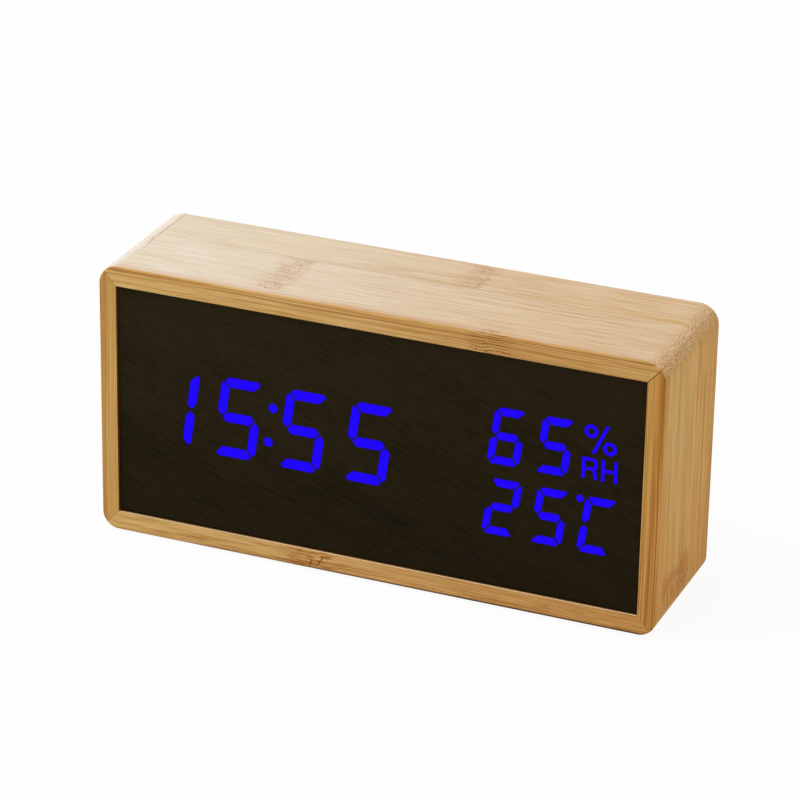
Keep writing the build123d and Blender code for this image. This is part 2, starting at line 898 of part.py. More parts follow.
buzzer_x, buzzer_z = on_main_board(buzzer_place_shares)
buzzer_back_y = main_back_y + buzzer_height
buzzer_can = rod(buzzer_x, buzzer_z, main_back_y, buzzer_back_y, buzzer_radius)
buzzer_mouth_ends = (buzzer_back_y - buzzer_mouth_depth, buzzer_back_y + overrun)
nodes["buzzer"] = buzzer_can - rod(buzzer_x, buzzer_z, *buzzer_mouth_ends, buzzer_mouth_radius)

microphone_x, microphone_z = on_main_board(microphone_place_shares)
microphone_back_y = main_back_y + microphone_height
boot_bore = microphone_radius + boot_clearance
nodes["microphone"] = rod(microphone_x, microphone_z, main_back_y, microphone_back_y, microphone_radius)
boot = rod(microphone_x, microphone_z, main_back_y, cover_front_y, boot_bore + boot_wall)
nodes["microphone_boot"] = boot - rod(
    microphone_x, microphone_z, main_back_y - overrun, cover_front_y + overrun, boot_bore
)

sensor_x, sensor_z = on_main_board(sensor_place_shares)
sensor_back_y = main_back_y + sensor_depth
sensor_body = block(
    (sensor_x - sensor_width / 2, sensor_x + sensor_width / 2),
    (main_back_y, sensor_back_y),
    (sensor_z - sensor_height / 2, sensor_z + sensor_height / 2),
)
sensor_slots = [
    prism(
        upright(SlotOverall(sensor_slot_length, sensor_slot_width), sensor_x, sensor_z + step),
        sensor_back_y - sensor_slot_depth,
        sensor_back_y + overrun,
    )
    for step in in_row(sensor_slot_count, sensor_slot_pitch)
]
nodes["climate_sensor"] = sensor_body - sensor_slots


# Rear cover with the battery compartment

door_low_z = hinge_z - door_thickness / 2
door_high_z = tub_high_z + door_seat - door_gap
door_left_x = tub_left_x - door_seat + door_gap
door_right_x = tub_right_x + door_seat - door_gap
cell_rows_z = [middle_z + step for step in in_row(cell_count, cell_pitch)]
lead_rows = {
    "battery_lead_positive": cell_rows_z[0] + lead_inset,
    "battery_lead_negative": cell_rows_z[-1] - lead_inset,
}
hinge_reach = hinge_pin_length + hinge_end_gap


def rear_cover():
    plate = block(
        (cover_clearance - inner_x, inner_x - cover_clearance),
        (cover_front_y, cover_back_y),
        (inner_low_z + cover_clearance, inner_high_z - cover_clearance),
    )
    tub = block(
        (tub_left_x - tub_wall, tub_right_x + tub_wall),
        (tub_floor_y - tub_wall, cover_front_y),
        (tub_low_z - tub_wall, tub_high_z + tub_wall),
    )
    bosses = [rod(x, z, main_back_y, cover_front_y, boss_radius) for x, z in boss_places]
    body = plate + [tub] + bosses
    past_back_y = cover_back_y + overrun
    cuts = [
        block((tub_left_x, tub_right_x), (tub_floor_y, past_back_y), (tub_low_z, tub_high_z)),
        block(
            (door_left_x - door_gap, door_right_x + door_gap),
            (seat_y, past_back_y),
            (door_low_z - door_gap, door_high_z + door_gap),
        ),
        rod(tub_x, door_high_z + door_gap, cover_back_y - scoop_depth, past_back_y, scoop_radius),
    ]
    cuts += door_sockets()
    cuts += screw_holes() + panel_holes()
    for z in lead_rows.values():
        hole = Rot(0, 90, 0) * Cylinder(lead_wire_radius + lead_hole_clearance, 2 * (tub_wall + overrun))
        cuts.append(Pos(tub_right_x + tub_wall / 2, lead_y, z) * hole)
    body -= cuts
    floor_ends = (tub_floor_y - tub_wall / 2, tub_floor_y + tub_rib_height)
    for step in in_row(cell_count - 1, cell_pitch):
        rib_z = (middle_z + step - tub_rib_width / 2, middle_z + step + tub_rib_width / 2)
        body += block((tub_left_x + spring_length, tub_right_x - spring_length), floor_ends, rib_z)
    return body


def door_sockets():
    """Bores for the hinge pins in the two side walls of the door's recess."""
    bore = Rot(0, 90, 0) * Cylinder(hinge_pin_radius + hinge_clearance, 2 * hinge_reach)
    return [Pos(x, hinge_y, hinge_z) * bore for x in (door_left_x - door_gap, door_right_x + door_gap)]


def screw_holes():
    """Counterbored holes for the cover's own screws and pilots in the bosses."""
    past_back_y = cover_back_y + overrun
    cuts = []
    for x, z in block_places:
        cuts.append(rod(x, z, cover_front_y - overrun, past_back_y, cover_screw_radius + screw_clearance))
        cuts.append(rod(x, z, cover_screw_seat_y, past_back_y, cover_screw_head_radius + screw_clearance))
    pilot_end_y = main_front_y + board_screw_length + pilot_tip
    for x, z in boss_places:
        cuts.append(rod(x, z, main_back_y - overrun, pilot_end_y, board_screw_radius + pilot_clearance))
    return cuts


def panel_holes():
    """Key holes, socket mouth, sound holes and vents."""
    ends = (cover_front_y - overrun, cover_back_y + overrun)
    key_hole = SlotOverall(key_length + 2 * key_clearance, key_height + 2 * key_clearance)
    cuts = [prism(upright(key_hole, x, z), *ends) for x, z in key_places.values()]
    mouth = SlotOverall(usb_width + 2 * usb_clearance, usb_height + 2 * usb_clearance)
    cuts.append(prism(upright(mouth, usb_x, usb_z), *ends))
    pocket = SlotOverall(usb_pocket_width, usb_pocket_height)
    cuts.append(prism(upright(pocket, usb_x, usb_z), usb_mouth_y, cover_back_y + overrun))
    cuts.append(rod(buzzer_x, buzzer_z, *ends, sound_hole_radius))
    for place in PolarLocations(sound_ring_radius, sound_hole_count):
        x, z = buzzer_x + place.position.X, buzzer_z + place.position.Y
        cuts.append(rod(x, z, *ends, sound_hole_radius))
    cuts.append(rod(microphone_x, microphone_z, *ends, microphone_hole_radius))
    for step in in_row(vent_count, vent_pitch):
        cuts.append(prism(upright(SlotOverall(vent_length, vent_width), sensor_x, sensor_z + step), *ends))
    return cuts


nodes["rear_cover"] = rear_cover()


# Battery door: a plate on a round lower edge whose two pins turn in the cover


def battery_door():
    plate = block((door_left_x, door_right_x), (door_front_y, cover_back_y), (hinge_z, door_high_z))
    width = door_right_x - door_left_x
    middle_x = (door_left_x + door_right_x) / 2
    barrel = Rot(0, 90, 0) * Cylinder(door_thickness / 2, width)
    pin = Rot(0, 90, 0) * Cylinder(hinge_pin_radius, width + 2 * (door_gap + hinge_pin_length))
    door = plate + [Pos(middle_x, hinge_y, hinge_z) * barrel, Pos(middle_x, hinge_y, hinge_z) * pin]
    rib_ends = (cover_back_y - grip_rib_height, cover_back_y + grip_rib_height)
    for number in range(grip_rib_count):
        rib_z = door_high_z - grip_rib_inset - number * grip_rib_pitch
        door += block(
            (middle_x - grip_rib_length / 2, middle_x + grip_rib_length / 2),
            rib_ends,
            (rib_z - grip_rib_width / 2, rib_z + grip_rib_width / 2),
        )
    return door


nodes["battery_door"] = battery_door()


# Battery cells lie in turn to the right and to the left, with springs at their flat ends


def along_x(x_from, x_to, y, z, radius):
    """Round bar along X."""
    return Pos((x_from + x_to) / 2, y, z) * Rot(0, 90, 0) * Cylinder(radius, abs(x_to - x_from))


def battery_pieces():
    jackets, caps, springs = [], [], []
    for number, z in enumerate(cell_rows_z):
        side = 1 if number % 2 == 0 else -1
        plus_x = (tub_right_x if side == 1 else tub_left_x) - side * contact_thickness
        cap_x = plus_x - side * cell_nub_height
        jacket_x = cap_x - side * cell_cap_height
        minus_x = plus_x - side * cell_length
        jackets.append(along_x(jacket_x, minus_x, cell_y, z, cell_radius))
        cap = along_x(jacket_x, cap_x, cell_y, z, cell_cap_radius)
        caps.append(cap + along_x(cap_x, plus_x, cell_y, z, cell_nub_radius))
        coil_height = spring_length - 2 * spring_wire
        start_x = minus_x - side * spring_wire
        coil = Helix(coil_height / spring_turns, coil_height, spring_radius, direction=(-side, 0, 0))
        section = Plane(coil @ 0, z_dir=coil % 0) * Circle(spring_wire)
        springs.append(Pos(start_x, cell_y, z) * sweep(section, path=coil, is_frenet=True))
    return jackets, caps, springs


def contact_plates():
    """Single plates at the two ends of the chain and bridges between neighbouring cells."""
    plates = []
    last = cell_count - 1
    for x, joined in ((tub_right_x - contact_thickness, 1), (tub_left_x, 0)):
        singles = [0, last] if joined else []
        pairs = [(row, row + 1) for row in range(joined, last, 2)]
        for low, high in [(row, row) for row in singles] + pairs:
            plates.append(block(
                (x, x + contact_thickness),
                (cell_y - contact_width / 2, cell_y + contact_width / 2),
                (cell_rows_z[low] - contact_height / 2, cell_rows_z[high] + contact_height / 2),
            ))
    return plates


jackets, caps, springs = battery_pieces()
nodes["battery_cells"] = jackets
nodes["battery_cell_caps"] = caps
nodes["battery_springs"] = springs
nodes["battery_contacts"] = contact_plates()

for name, z in lead_rows.items():
    route = FilletPolyline(
        (tub_right_x, lead_y, z),
        (main_left_x + lead_landing, lead_y, z),
        (main_left_x + lead_landing, main_back_y, z),
        radius=lead_bend,
    )
    section = Plane((tub_right_x, lead_y, z), z_dir=(1, 0, 0)) * Circle(lead_wire_radius)
    nodes[name] = sweep(section, path=route)


# One file for each node

os.makedirs("parts", exist_ok=True)
for name, shape in nodes.items():
    pieces = shape if isinstance(shape, list) else [shape]
    solids = [solid for piece in pieces for solid in piece.solids()]
    export_step(solids[0] if len(solids) == 1 else Compound(solids), f"parts/{name}.step")
    print(name, len(solids))
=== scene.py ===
import math
import bpy
from mathutils import Matrix, Vector

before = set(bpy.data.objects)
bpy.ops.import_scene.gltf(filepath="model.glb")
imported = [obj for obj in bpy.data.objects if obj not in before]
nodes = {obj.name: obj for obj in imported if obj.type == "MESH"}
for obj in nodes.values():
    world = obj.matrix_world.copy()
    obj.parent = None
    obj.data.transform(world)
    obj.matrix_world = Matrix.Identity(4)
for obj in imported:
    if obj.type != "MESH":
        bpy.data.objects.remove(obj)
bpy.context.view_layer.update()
dressed = set()  # names of the nodes that have their finish


# colours are written as they look on screen, 0 to 255
def paint(red, green, blue):
    channels = []
    for value in (red, green, blue):
        share = value / 255
        channels.append(share / 12.92 if share <= 0.04045 else ((share + 0.055) / 1.055) ** 2.4)
    return (*channels, 1.0)


# a node tree; most methods add nodes and hand back an output socket
class Nodes:
    def __init__(self, tree):
        self.tree = tree
        self.tree.nodes.clear()

    def add(self, kind, inputs=None, **settings):
        node = self.tree.nodes.new("ShaderNode" + kind)
        for key, value in settings.items():
            setattr(node, key, value)
        for key, value in (inputs or {}).items():
            self.feed(node, key, value)
        return node

    def feed(self, node, key, value):
        if isinstance(value, bpy.types.NodeSocket):
            self.tree.links.new(value, node.inputs[key])
        else:
            node.inputs[key].default_value = value

    def calc(self, operation, *values):
        return self.add("Math", dict(enumerate(values)), operation=operation).outputs[0]

    def minus(self, first, second):
        return self.calc("SUBTRACT", first, second)

    # a value moved by so much of another
    def nudge(self, value, by, amount):
        return self.calc("MULTIPLY_ADD", by, amount, value)

    def times(self, first, *others):
        for value in others:
            first = self.calc("MULTIPLY", first, value)
        return first

    # smooth step, which may run from a high value to a low one
    def span(self, value, low, high, toLow=0.0, toHigh=1.0):
        inputs = {0: value, 1: low, 2: high, 3: toLow, 4: toHigh}
        return self.add("MapRange", inputs, interpolation_type="SMOOTHSTEP").outputs[0]

    # full between two values, with soft ends
    def between(self, value, low, high, soft):
        start = self.span(value, low - soft, low + soft)
        return self.times(start, self.span(value, high + soft, high - soft))

    # full where the value is near zero, gone at the half width
    def stroke(self, value, halfWidth, core, share=1.0):
        return self.span(self.calc("ABSOLUTE", value), halfWidth, core, 0.0, share)

    def mix(self, share, first, second, blend="MIX"):
        inputs = {0: share, 6: first, 7: second}
        return self.add("Mix", inputs, data_type="RGBA", blend_type=blend).outputs[2]

    def cover(self, share, colour, shade):
        return self.mix(share, colour, paint(*shade))

    def tint(self, share, colour, shade):
        return self.mix(share, colour, paint(*shade), "MULTIPLY")

    def split(self, vector):
        return self.add("SeparateXYZ", {0: vector}).outputs

    def join(self, x, y, z):
        return self.add("CombineXYZ", {0: x, 1: y, 2: z}).outputs[0]

    def stretch(self, vector, sizes):
        shares = tuple(1 / size for size in sizes)
        return self.add("VectorMath", {0: vector, 1: shares}, operation="MULTIPLY").outputs[0]

    # clouds of the given sizes in millimetres
    def noise(self, vector, sizes, detail=2.0, roughness=0.5, distortion=0.0):
        inputs = {"Vector": self.stretch(vector, sizes), "Scale": 1.0, "Detail": detail}
        inputs.update({"Roughness": roughness, "Distortion": distortion})
        return self.add("TexNoise", inputs).outputs[0]

    # slow noise about zero
    def drift(self, vector, sizes, detail=1.0):
        return self.minus(self.noise(vector, sizes, detail), 0.5)

    def cells(self, vector, sizes, randomness=1.0, **settings):
        inputs = {"Vector": self.stretch(vector, sizes), "Scale": 1.0, "Randomness": randomness}
        return self.add("TexVoronoi", inputs, **settings).outputs

    def ramp(self, value, stops):
        node = self.add("ValToRGB", {0: value})
        for _ in stops[2:]:
            node.color_ramp.elements.new(1.0)
        for element, (position, colour) in zip(node.color_ramp.elements, stops):
            element.position = position
            element.color = colour
        return node.outputs[0]


# one material for pieces of the clock
class Finish(Nodes):
    def __init__(self, name):
        self.material = bpy.data.materials.new(name)
        self.material.use_nodes = True
        super().__init__(self.material.node_tree)
        self.shader = self.add("BsdfPrincipled")
        self.add("OutputMaterial", {"Surface": self.shader.outputs[0]})
        coords = self.add("TexCoord").outputs
        scaled = self.add("VectorMath", {0: coords["Object"], "Scale": 1000.0}, operation="SCALE")
        self.place = scaled.outputs[0]  # place on the part in millimetres
        self.x, self.y, self.z = self.split(self.place)
        facing = self.add("VectorMath", {0: coords["Normal"]}, operation="ABSOLUTE").outputs[0]
        self.normalX, self.normalY, self.normalZ = self.split(facing)

    def coat(self, **values):
        for key, value in values.items():
            self.feed(self.shader, key.replace("_", " "), value)

    def relief(self, height, depth, under=None):
        inputs = {"Height": height, "Distance": depth / 1000}
        if under is not None:
            inputs["Normal"] = under
        return self.add("Bump", inputs).outputs["Normal"]

    # rounded look along sharp edges, and how near the edge is
    def easedEdges(self, radius):
        eased = self.add("Bevel", {"Radius": radius / 1000}, samples=6).outputs[0]
        true = self.add("NewGeometry").outputs["Normal"]
        alike = self.add("VectorMath", {0: eased, 1: true}, operation="DOT_PRODUCT").outputs["Value"]
        return eased, self.span(alike, 0.995, 0.85)  # cosines of the turn between the two normals

    # roughness between two limits, by a noise
    def worn(self, noise, limits):
        return self.span(noise, 0.3, 0.7, *limits)

    def dress(self, *names):
        for name in names:
            for slot in nodes[name].material_slots:
                slot.material = self.material
        dressed.update(names)


# camera where the photograph was taken from

cameraLook = {
    "place": (0.335049, -0.827882, 0.449228),
    "yaw": 22.229,
    "pitch": 24.278,
    "roll": 0.972,
    "lens": 176.234,
    "sensor": 36.0,
    "shiftX": 0.00933,
    "shiftY": -0.01958,
}


def placeCamera(look):
    yaw, pitch, roll = (math.radians(look[key]) for key in ("yaw", "pitch", "roll"))
    back = Vector((math.sin(yaw) * math.cos(pitch), -math.cos(yaw) * math.cos(pitch), math.sin(pitch)))
    right = Vector((math.cos(yaw), math.sin(yaw), 0))
    up = back.cross(right)
    turnedRight = math.cos(roll) * right + math.sin(roll) * up
    turnedUp = math.cos(roll) * up - math.sin(roll) * right
    data = bpy.data.cameras.new("camera")
    data.lens = look["lens"]
    data.sensor_width = look["sensor"]
    data.shift_x = look["shiftX"]
    data.shift_y = look["shiftY"]
    camera = bpy.data.objects.new("camera", data)
    bpy.context.scene.collection.objects.link(camera)
    turn = Matrix((turnedRight, turnedUp, back)).transposed()
    camera.matrix_world = Matrix.Translation(look["place"]) @ turn.to_4x4()
    bpy.context.scene.camera = camera


placeCamera(cameraLook)


# studio: white floor, plain world and soft lamps

studioLook = {
    "white": (1, 1, 1, 1),
    "worldLight": 0.42,
    "floorSide": 3.0,
    "floorColour": (251, 251, 250),
    "floorWhiteShare": 0.93,
    "lamps": {
        "keyLamp": {"place": (-0.45, -0.3, 1.1), "size": 0.8, "power": 9.0},
        "frontLamp": {"place": (0.7, -1.1, 0.7), "size": 0.9, "power": 2.0},
    },
    "aim": (0.0, 0.0, 0.035),
}


# rays that show the background itself: straight, mirrored or through something clear
def backgroundRays(tree):
    rays = tree.add("LightPath").outputs
    seen = tree.calc("MAXIMUM", rays["Is Camera Ray"], rays["Is Glossy Ray"])
    return tree.calc("MAXIMUM", seen, rays["Is Transmission Ray"])


def lightStudio(look):
    scene = bpy.context.scene
    scene.view_settings.view_transform = "Standard"
    scene.world = bpy.data.worlds.new("studio")
    scene.world.use_nodes = True
    sky = Nodes(scene.world.node_tree)
    level = sky.add("MapRange", {0: backgroundRays(sky), 3: look["worldLight"], 4: 1.0}).outputs[0]
    light = sky.add("Background", {"Color": look["white"], "Strength": level})
    sky.add("OutputWorld", {"Surface": light.outputs[0]})
    for name, lamp in look["lamps"].items():
        data = bpy.data.lights.new(name, "AREA")
        data.size = lamp["size"]
        data.energy = lamp["power"]
        piece = bpy.data.objects.new(name, data)
        scene.collection.objects.link(piece)
        piece.location = lamp["place"]
        away = Vector(lamp["place"]) - Vector(look["aim"])
        piece.rotation_euler = away.to_track_quat("Z", "Y").to_euler()


def layFloor(look):
    side = look["floorSide"]
    corners = [(-side, -side, 0), (side, -side, 0), (side, side, 0), (-side, side, 0)]
    mesh = bpy.data.meshes.new("floor")
    mesh.from_pydata(corners, [], [(0, 1, 2, 3)])
    floor = bpy.data.objects.new("floor", mesh)
    bpy.context.scene.collection.objects.link(floor)
    material = bpy.data.materials.new("floorWhite")
    material.use_nodes = True
    tree = Nodes(material.node_tree)
    share = tree.times(backgroundRays(tree), look["floorWhiteShare"])
    matt = tree.add("BsdfDiffuse", {"Color": paint(*look["floorColour"])})
    white = tree.add("Emission", {"Color": look["white"]})
    blend = tree.add("MixShader", {0: share, 1: matt.outputs[0], 2: white.outputs[0]})
    tree.add("OutputMaterial", {"Surface": blend.outputs[0]})
    mesh.materials.append(material)


lightStudio(studioLook)
layFloor(studioLook)
print("studio ready")


# bamboo boards: the grain runs along X in the level boards and along Z in the side boards

# sizes in millimetres, along the grain, front to back and through the board
# widths of lines: half the whole width, then half of the full core
bambooLook = {
    "toneStops": (0.46, 0.62, 0.8),
    "roughness": (0.46, 0.62),
    "gloss": 0.1,
    "fibreRelief": 1.5,
    "reliefDepth": 0.02,
    "blotchSize": (3.0, 2.2, 2.2),
    "swaySize": (60, 30, 30),
    "swayReach": 1.6,
    "seamWidth": 0.2,
    "glueLine": (172, 126, 78),
    "glueWidth": (0.35, 0.05),
    "glueShare": 0.35,
    "fadeSpan": (-70.0, 70.0),
    "skin": (178, 114, 46),
    "skinSway": 4.0,
    "line": (158, 92, 32),
    "lineSoft": 0.06,
    "lineStart": (0.1, 0.6),
    "rindDepth": 0.85,
    "rindSway": -1.2,
    "rindWidth": (0.32, 0.08),
    "flame": (172, 106, 40),
    "flameSpan": (0.5, 0.6),
    "ripple": (132, 74, 20),
    "tick": (122, 66, 10),
    "tickWidth": (0.36, 0.12),
    "tickShare": 0.85,
    "tickWave": 1.2,
    "tickSoft": 0.3,
    "fleckShare": 0.75,
    "fleckWave": 1.6,
    "fleckSoft": 0.6,
    "zigzagSize": (6, 4, 1.1),
    "fringeSize": (40, 0.9, 0.9),
    "fringeReach": 4.0,
    "knuckleReach": 6.0,
    "knuckleInset": 0.1,
    "knuckleSoft": 0.4,
    "ridgeWidth": (0.6, 0.1),
    "ridgeShare": 0.5,
    "poreSoft": 0.15,
    "poreRadii": (0.5, 0.2),
    "poreShare": 0.9,
    "speck": (104, 68, 38),
    "speckRadii": (0.34, 0.136),
    "speckShare": 0.8,
    "stippleGround": (242, 203, 150),
    "stippleGroundShare": 0.6,
    "stippleDot": (158, 60, 0),
    "stippleRadii": (0.52, 0.15),
    "stippleSize": (0.32, 0.56, 0.32),
    "stippleScatter": 0.78,
    "stippleFray": 0.2,
    "stippleSpan": (0.24, 0.5),
    "stippleRise": {"z": (20.0, 60.0), "shares": (0.35, 1.0)},
    "crack": (78, 48, 24),
    "crackWidth": (0.24, 0.05),
    "crackWaver": 0.4,
    "crackTurn": (0.2, 0.8),
    "waverSize": (7, 7, 7),
    "breakSize": (9, 9, 9),
    "breakSpan": (0.35, 0.55),
    "breakShares": (0.35, 1.0),
    # painted highlight along the rim round the panel, painted shade on the step behind it
    "lipHighlight": (255, 230, 184),
    "lipDepth": (0.3, 0.05),
    "lipTurn": (0.5, 0.2),
    "lipReach": (19.4, 19.7),
    "recess": (150, 116, 84),
    # painted shadow along the bottom edge where the case stands
    "contactShade": (72, 46, 26),
    "contactShadeSpan": (1.45, 1.05),
    "contactShadeReach": (-60.0, 30.0),
    "contactShadeShares": (0.3, 0.95),
}

# each face has a pale, a middle and a deep colour
# knuckles: hard end, front, back, length, strength, softness of the hard end
# ticks: spot, lean, from depth, to depth; flecks: from, to, depth, half width
# skinSpan: start, full, full, end; lineShares: inside and outside
# cracks: side, height, strength on the front and back, strength on the round corner
boardLooks = {
    "case_top": {
        "grain": "x",
        "outer": 73.6,
        "outward": 1,
        "thick": 5.2,
        "face": ((230, 204, 168), (219, 188, 151), (202, 164, 116)),
        "farFace": ((237, 225, 206), (231, 216, 194), (222, 200, 170)),
        "farSpan": (62.0, -70.0),
        "edge": ((223, 187, 121), (212, 170, 104), (189, 140, 75)),
        "edgeSpan": (0.1, 0.45),
        "bandSize": (90, 5, 3),
        "streakSize": (26, 0.9, 0.8),
        "fibreSize": (12, 0.45, 0.3),
        "grainShares": (0.12, 0.6, 0.53),
        "seam": 4.5,
        "backTint": (253, 251, 246),
        "amber": {"along": (20.0, 45.0), "width": 5.0, "share": 0.7},
        "rimTint": {"y": (-16.8, -18.6), "along": (75.0, 30.0), "shade": (245, 233, 222)},
        "knuckleTint": (240, 222, 210),
        "knuckles": (
            (17.5, 4.7, 19.6, 8.5, 0.75, 1.5),
            (-26.5, -17.0, 4.3, 10.0, 0.75, 1.7),
            (32.0, -19.8, -17.7, 5.0, 0.6, 1.0),
        ),
        "poreSize": (0.66, 0.76, 0.6),
        "pore": (140, 96, 64),
        "poreLevel": 0.56,
        "lineSize": (80, 9, 0.46),
        "lineLevel": 0.54,
        "lineShares": (0.25, 0.65),
        "skinShare": 0.2,
        "skinSpan": (2.4, 0.9, -1.0, -2.0),
        "rindShare": 0.5,
        "ripples": {
            "from": 24.3,
            "to": 35.5,
            "soft": 2.0,
            "pitch": 0.72,
            "bow": 1.6,
            "size": (5, 9, 3),
            "crest": (0.25, 0.95),
            "shares": (0.38, 0.95),
        },
        "specks": (
            (27.75, -18.5, 73.6),
            (29.7, -18.6, 73.6),
            (26.5, -20.0, 69.1),
            (29.1, -20.0, 68.9),
            (28.6, -20.0, 71.0),
        ),
        "fadeTint": (249, 245, 240),
        "lipHighlightShare": 0.6,
        "cracks": ((-1, 1, 0.8, 0.1), (1, 1, 0.75, 0.3)),
        "looseEnd": {
            "x": -69.7,
            "waver": 2.0,
            "width": (0.26, 0.05),
            "crack": (178, 150, 122),
            "crackFade": {"y": (-14.0, 4.0), "shares": (0.0, 0.7)},
            "washed": (246, 238, 230),
            "washedSpan": (0.4, -2.4),
            "washedShare": 0.85,
            "washedTurnX": (0.68, 0.36),
            "washedTurnY": (0.3, 0.1),
        },
        "grainShift": 120.0,
    },
    "case_bottom": {
        "grain": "x",
        "outer": 0.6,
        "outward": -1,
        "thick": 5.2,
        "face": ((230, 188, 116), (218, 172, 98), (198, 146, 74)),
        "edge": ((226, 187, 119), (211, 168, 102), (182, 133, 69)),
        "edgeSpan": (0.35, 0.7),
        "bandSize": (60, 5, 3),
        "streakSize": (16, 1.5, 0.8),
        "fibreSize": (8, 0.6, 0.3),
        "grainShares": (0.15, 0.6, 0.5),
        "seam": 3.2,
        "backTint": (252, 246, 234),
        "knuckleTint": (236, 208, 168),
        "knuckles": ((38.0, -17.2, 3.0, 9.0, 0.8, 1.0), (-41.0, 3.6, 20.5, 9.0, 0.8, 1.0)),
        "poreSize": (0.9, 0.7, 0.6),
        "pore": (130, 76, 28),
        "poreLevel": 0.6,
        "lineSize": (26, 9, 0.42),
        "lineLevel": 0.58,
        "lineShares": (0.35, 0.65),
        "skinShare": 0.1,
        "skinSpan": (2.4, 0.9, -1.0, -2.0),
        "rindShare": 0.2,
        "knot": {"spot": -15.6, "reach": 11.0, "size": (4, 9, 0.5), "share": 0.75},
        "ticks": ((-17.0, 0.25, 0.5, 2.5), (-15.3, 0.5, 1.1, 4.2)),
        "flecks": (
            (-17.8, -15.6, 3.1, 0.35),
            (-20.4, -14.6, 4.5, 0.35),
            (-14.2, -11.0, 4.1, 0.45),
            (-14.2, -11.4, 1.1, 0.3),
            (-22.5, -17.6, 1.9, 0.3),
            (-26.0, -18.0, 0.9, 0.3),
        ),
        "fadeTint": (239, 222, 206),
        "lipHighlightShare": 0.9,
        "cracks": ((-1, -1, 0.15, 0.02), (1, -1, 0.15, 0.02)),
        "grainShift": 440.0,
    },
    "case_left": {
        "grain": "z",
        "outer": -75.0,
        "outward": -1,
        "thick": 4.7,
        "face": ((232, 190, 118), (220, 174, 100), (200, 148, 76)),
        "edge": ((212, 169, 99), (201, 157, 86), (181, 130, 62)),
        "edgeSpan": (0.35, 0.7),
        "bandSize": (90, 5, 3),
        "streakSize": (50, 1.5, 0.7),
        "fibreSize": (24, 0.6, 0.26),
        "grainShares": (0.3, 0.6, 0.35),
        "seam": 5.4,
        "backTint": (250, 240, 222),
        "knuckleTint": (240, 214, 176),
        "knuckles": ((52.0, -16.2, 5.2, 9.0, 0.7, 1.0), (24.0, 5.8, 20.5, 8.0, 0.6, 1.0)),
        "poreSize": (0.9, 0.7, 0.6),
        "pore": (132, 82, 34),
        "poreLevel": 0.6,
        "lineSize": (80, 9, 0.4),
        "lineLevel": 0.55,
        "lineShares": (0.05, 0.7),
        "skinShare": 0.4,
        "skinSpan": (2.4, 0.9, -1.0, -2.0),
        "rindShare": 0.4,
        "lipHighlightShare": 0.0,
        "cracks": ((-1, 1, 0.8, 0.1), (-1, -1, 0.15, 0.02)),
        "grainShift": 920.0,
    },
    "case_right": {
        "grain": "z",
        "outer": 75.0,
        "outward": 1,
        "thick": 4.7,
        "face": ((240, 198, 123), (225, 175, 97), (194, 135, 60)),
        "edge": ((219, 171, 97), (200, 149, 77), (160, 104, 40)),
        "edgeSpan": (0.05, 0.35),
        "bandSize": (90, 5, 3),
        "streakSize": (44, 1.0, 0.42),
        "fibreSize": (20, 0.5, 0.24),
        "grainShares": (0.35, 0.6, 0.3),
        "seam": 4.5,
        "backTint": (253, 244, 226),
        "frontTint": {"y": -16.5, "shade": (250, 237, 205)},
        "footTint": {"span": (50.0, 12.0), "shade": (252, 243, 223)},
        "knuckleTint": (243, 215, 162),
        "knuckles": ((13.5, -16.0, 4.4, 12.0, 1.0, 2.6), (58.0, 4.8, 20.5, 8.0, 0.2, 1.0)),
        "poreSize": (0.9, 0.8, 0.6),
        "pore": (148, 84, 24),
        "poreLevel": 0.62,
        "lineSize": (90, 9, 0.4),
        "lineLevel": 0.54,
        "lineShares": (0.5, 0.95),
        "skinShare": 0.5,
        "skinSpan": (3.0, 1.7, 0.9, 0.3),
        "rindShare": 0.6,
        "lipHighlightShare": 0.2,
        "cracks": ((1, 1, 0.75, 0.3), (1, -1, 0.15, 0.02)),
        "grainShift": 1480.0,
    },
}
mitreLook = {"outerX": 75.0, "innerX": 70.3, "top": (73.6, 68.4), "low": (0.6, 5.8)}


# a corner of the case, and the direction across the joint that starts there
def mitrePlane(sideX, sideZ):
    outerZ, innerZ = mitreLook["top" if sideZ > 0 else "low"]
    corner = (sideX * mitreLook["outerX"], outerZ)
    inner = (sideX * mitreLook["innerX"], innerZ)
    run = Vector((corner[0] - inner[0], corner[1] - inner[1])).normalized()
    return corner, (run.y, -run.x)


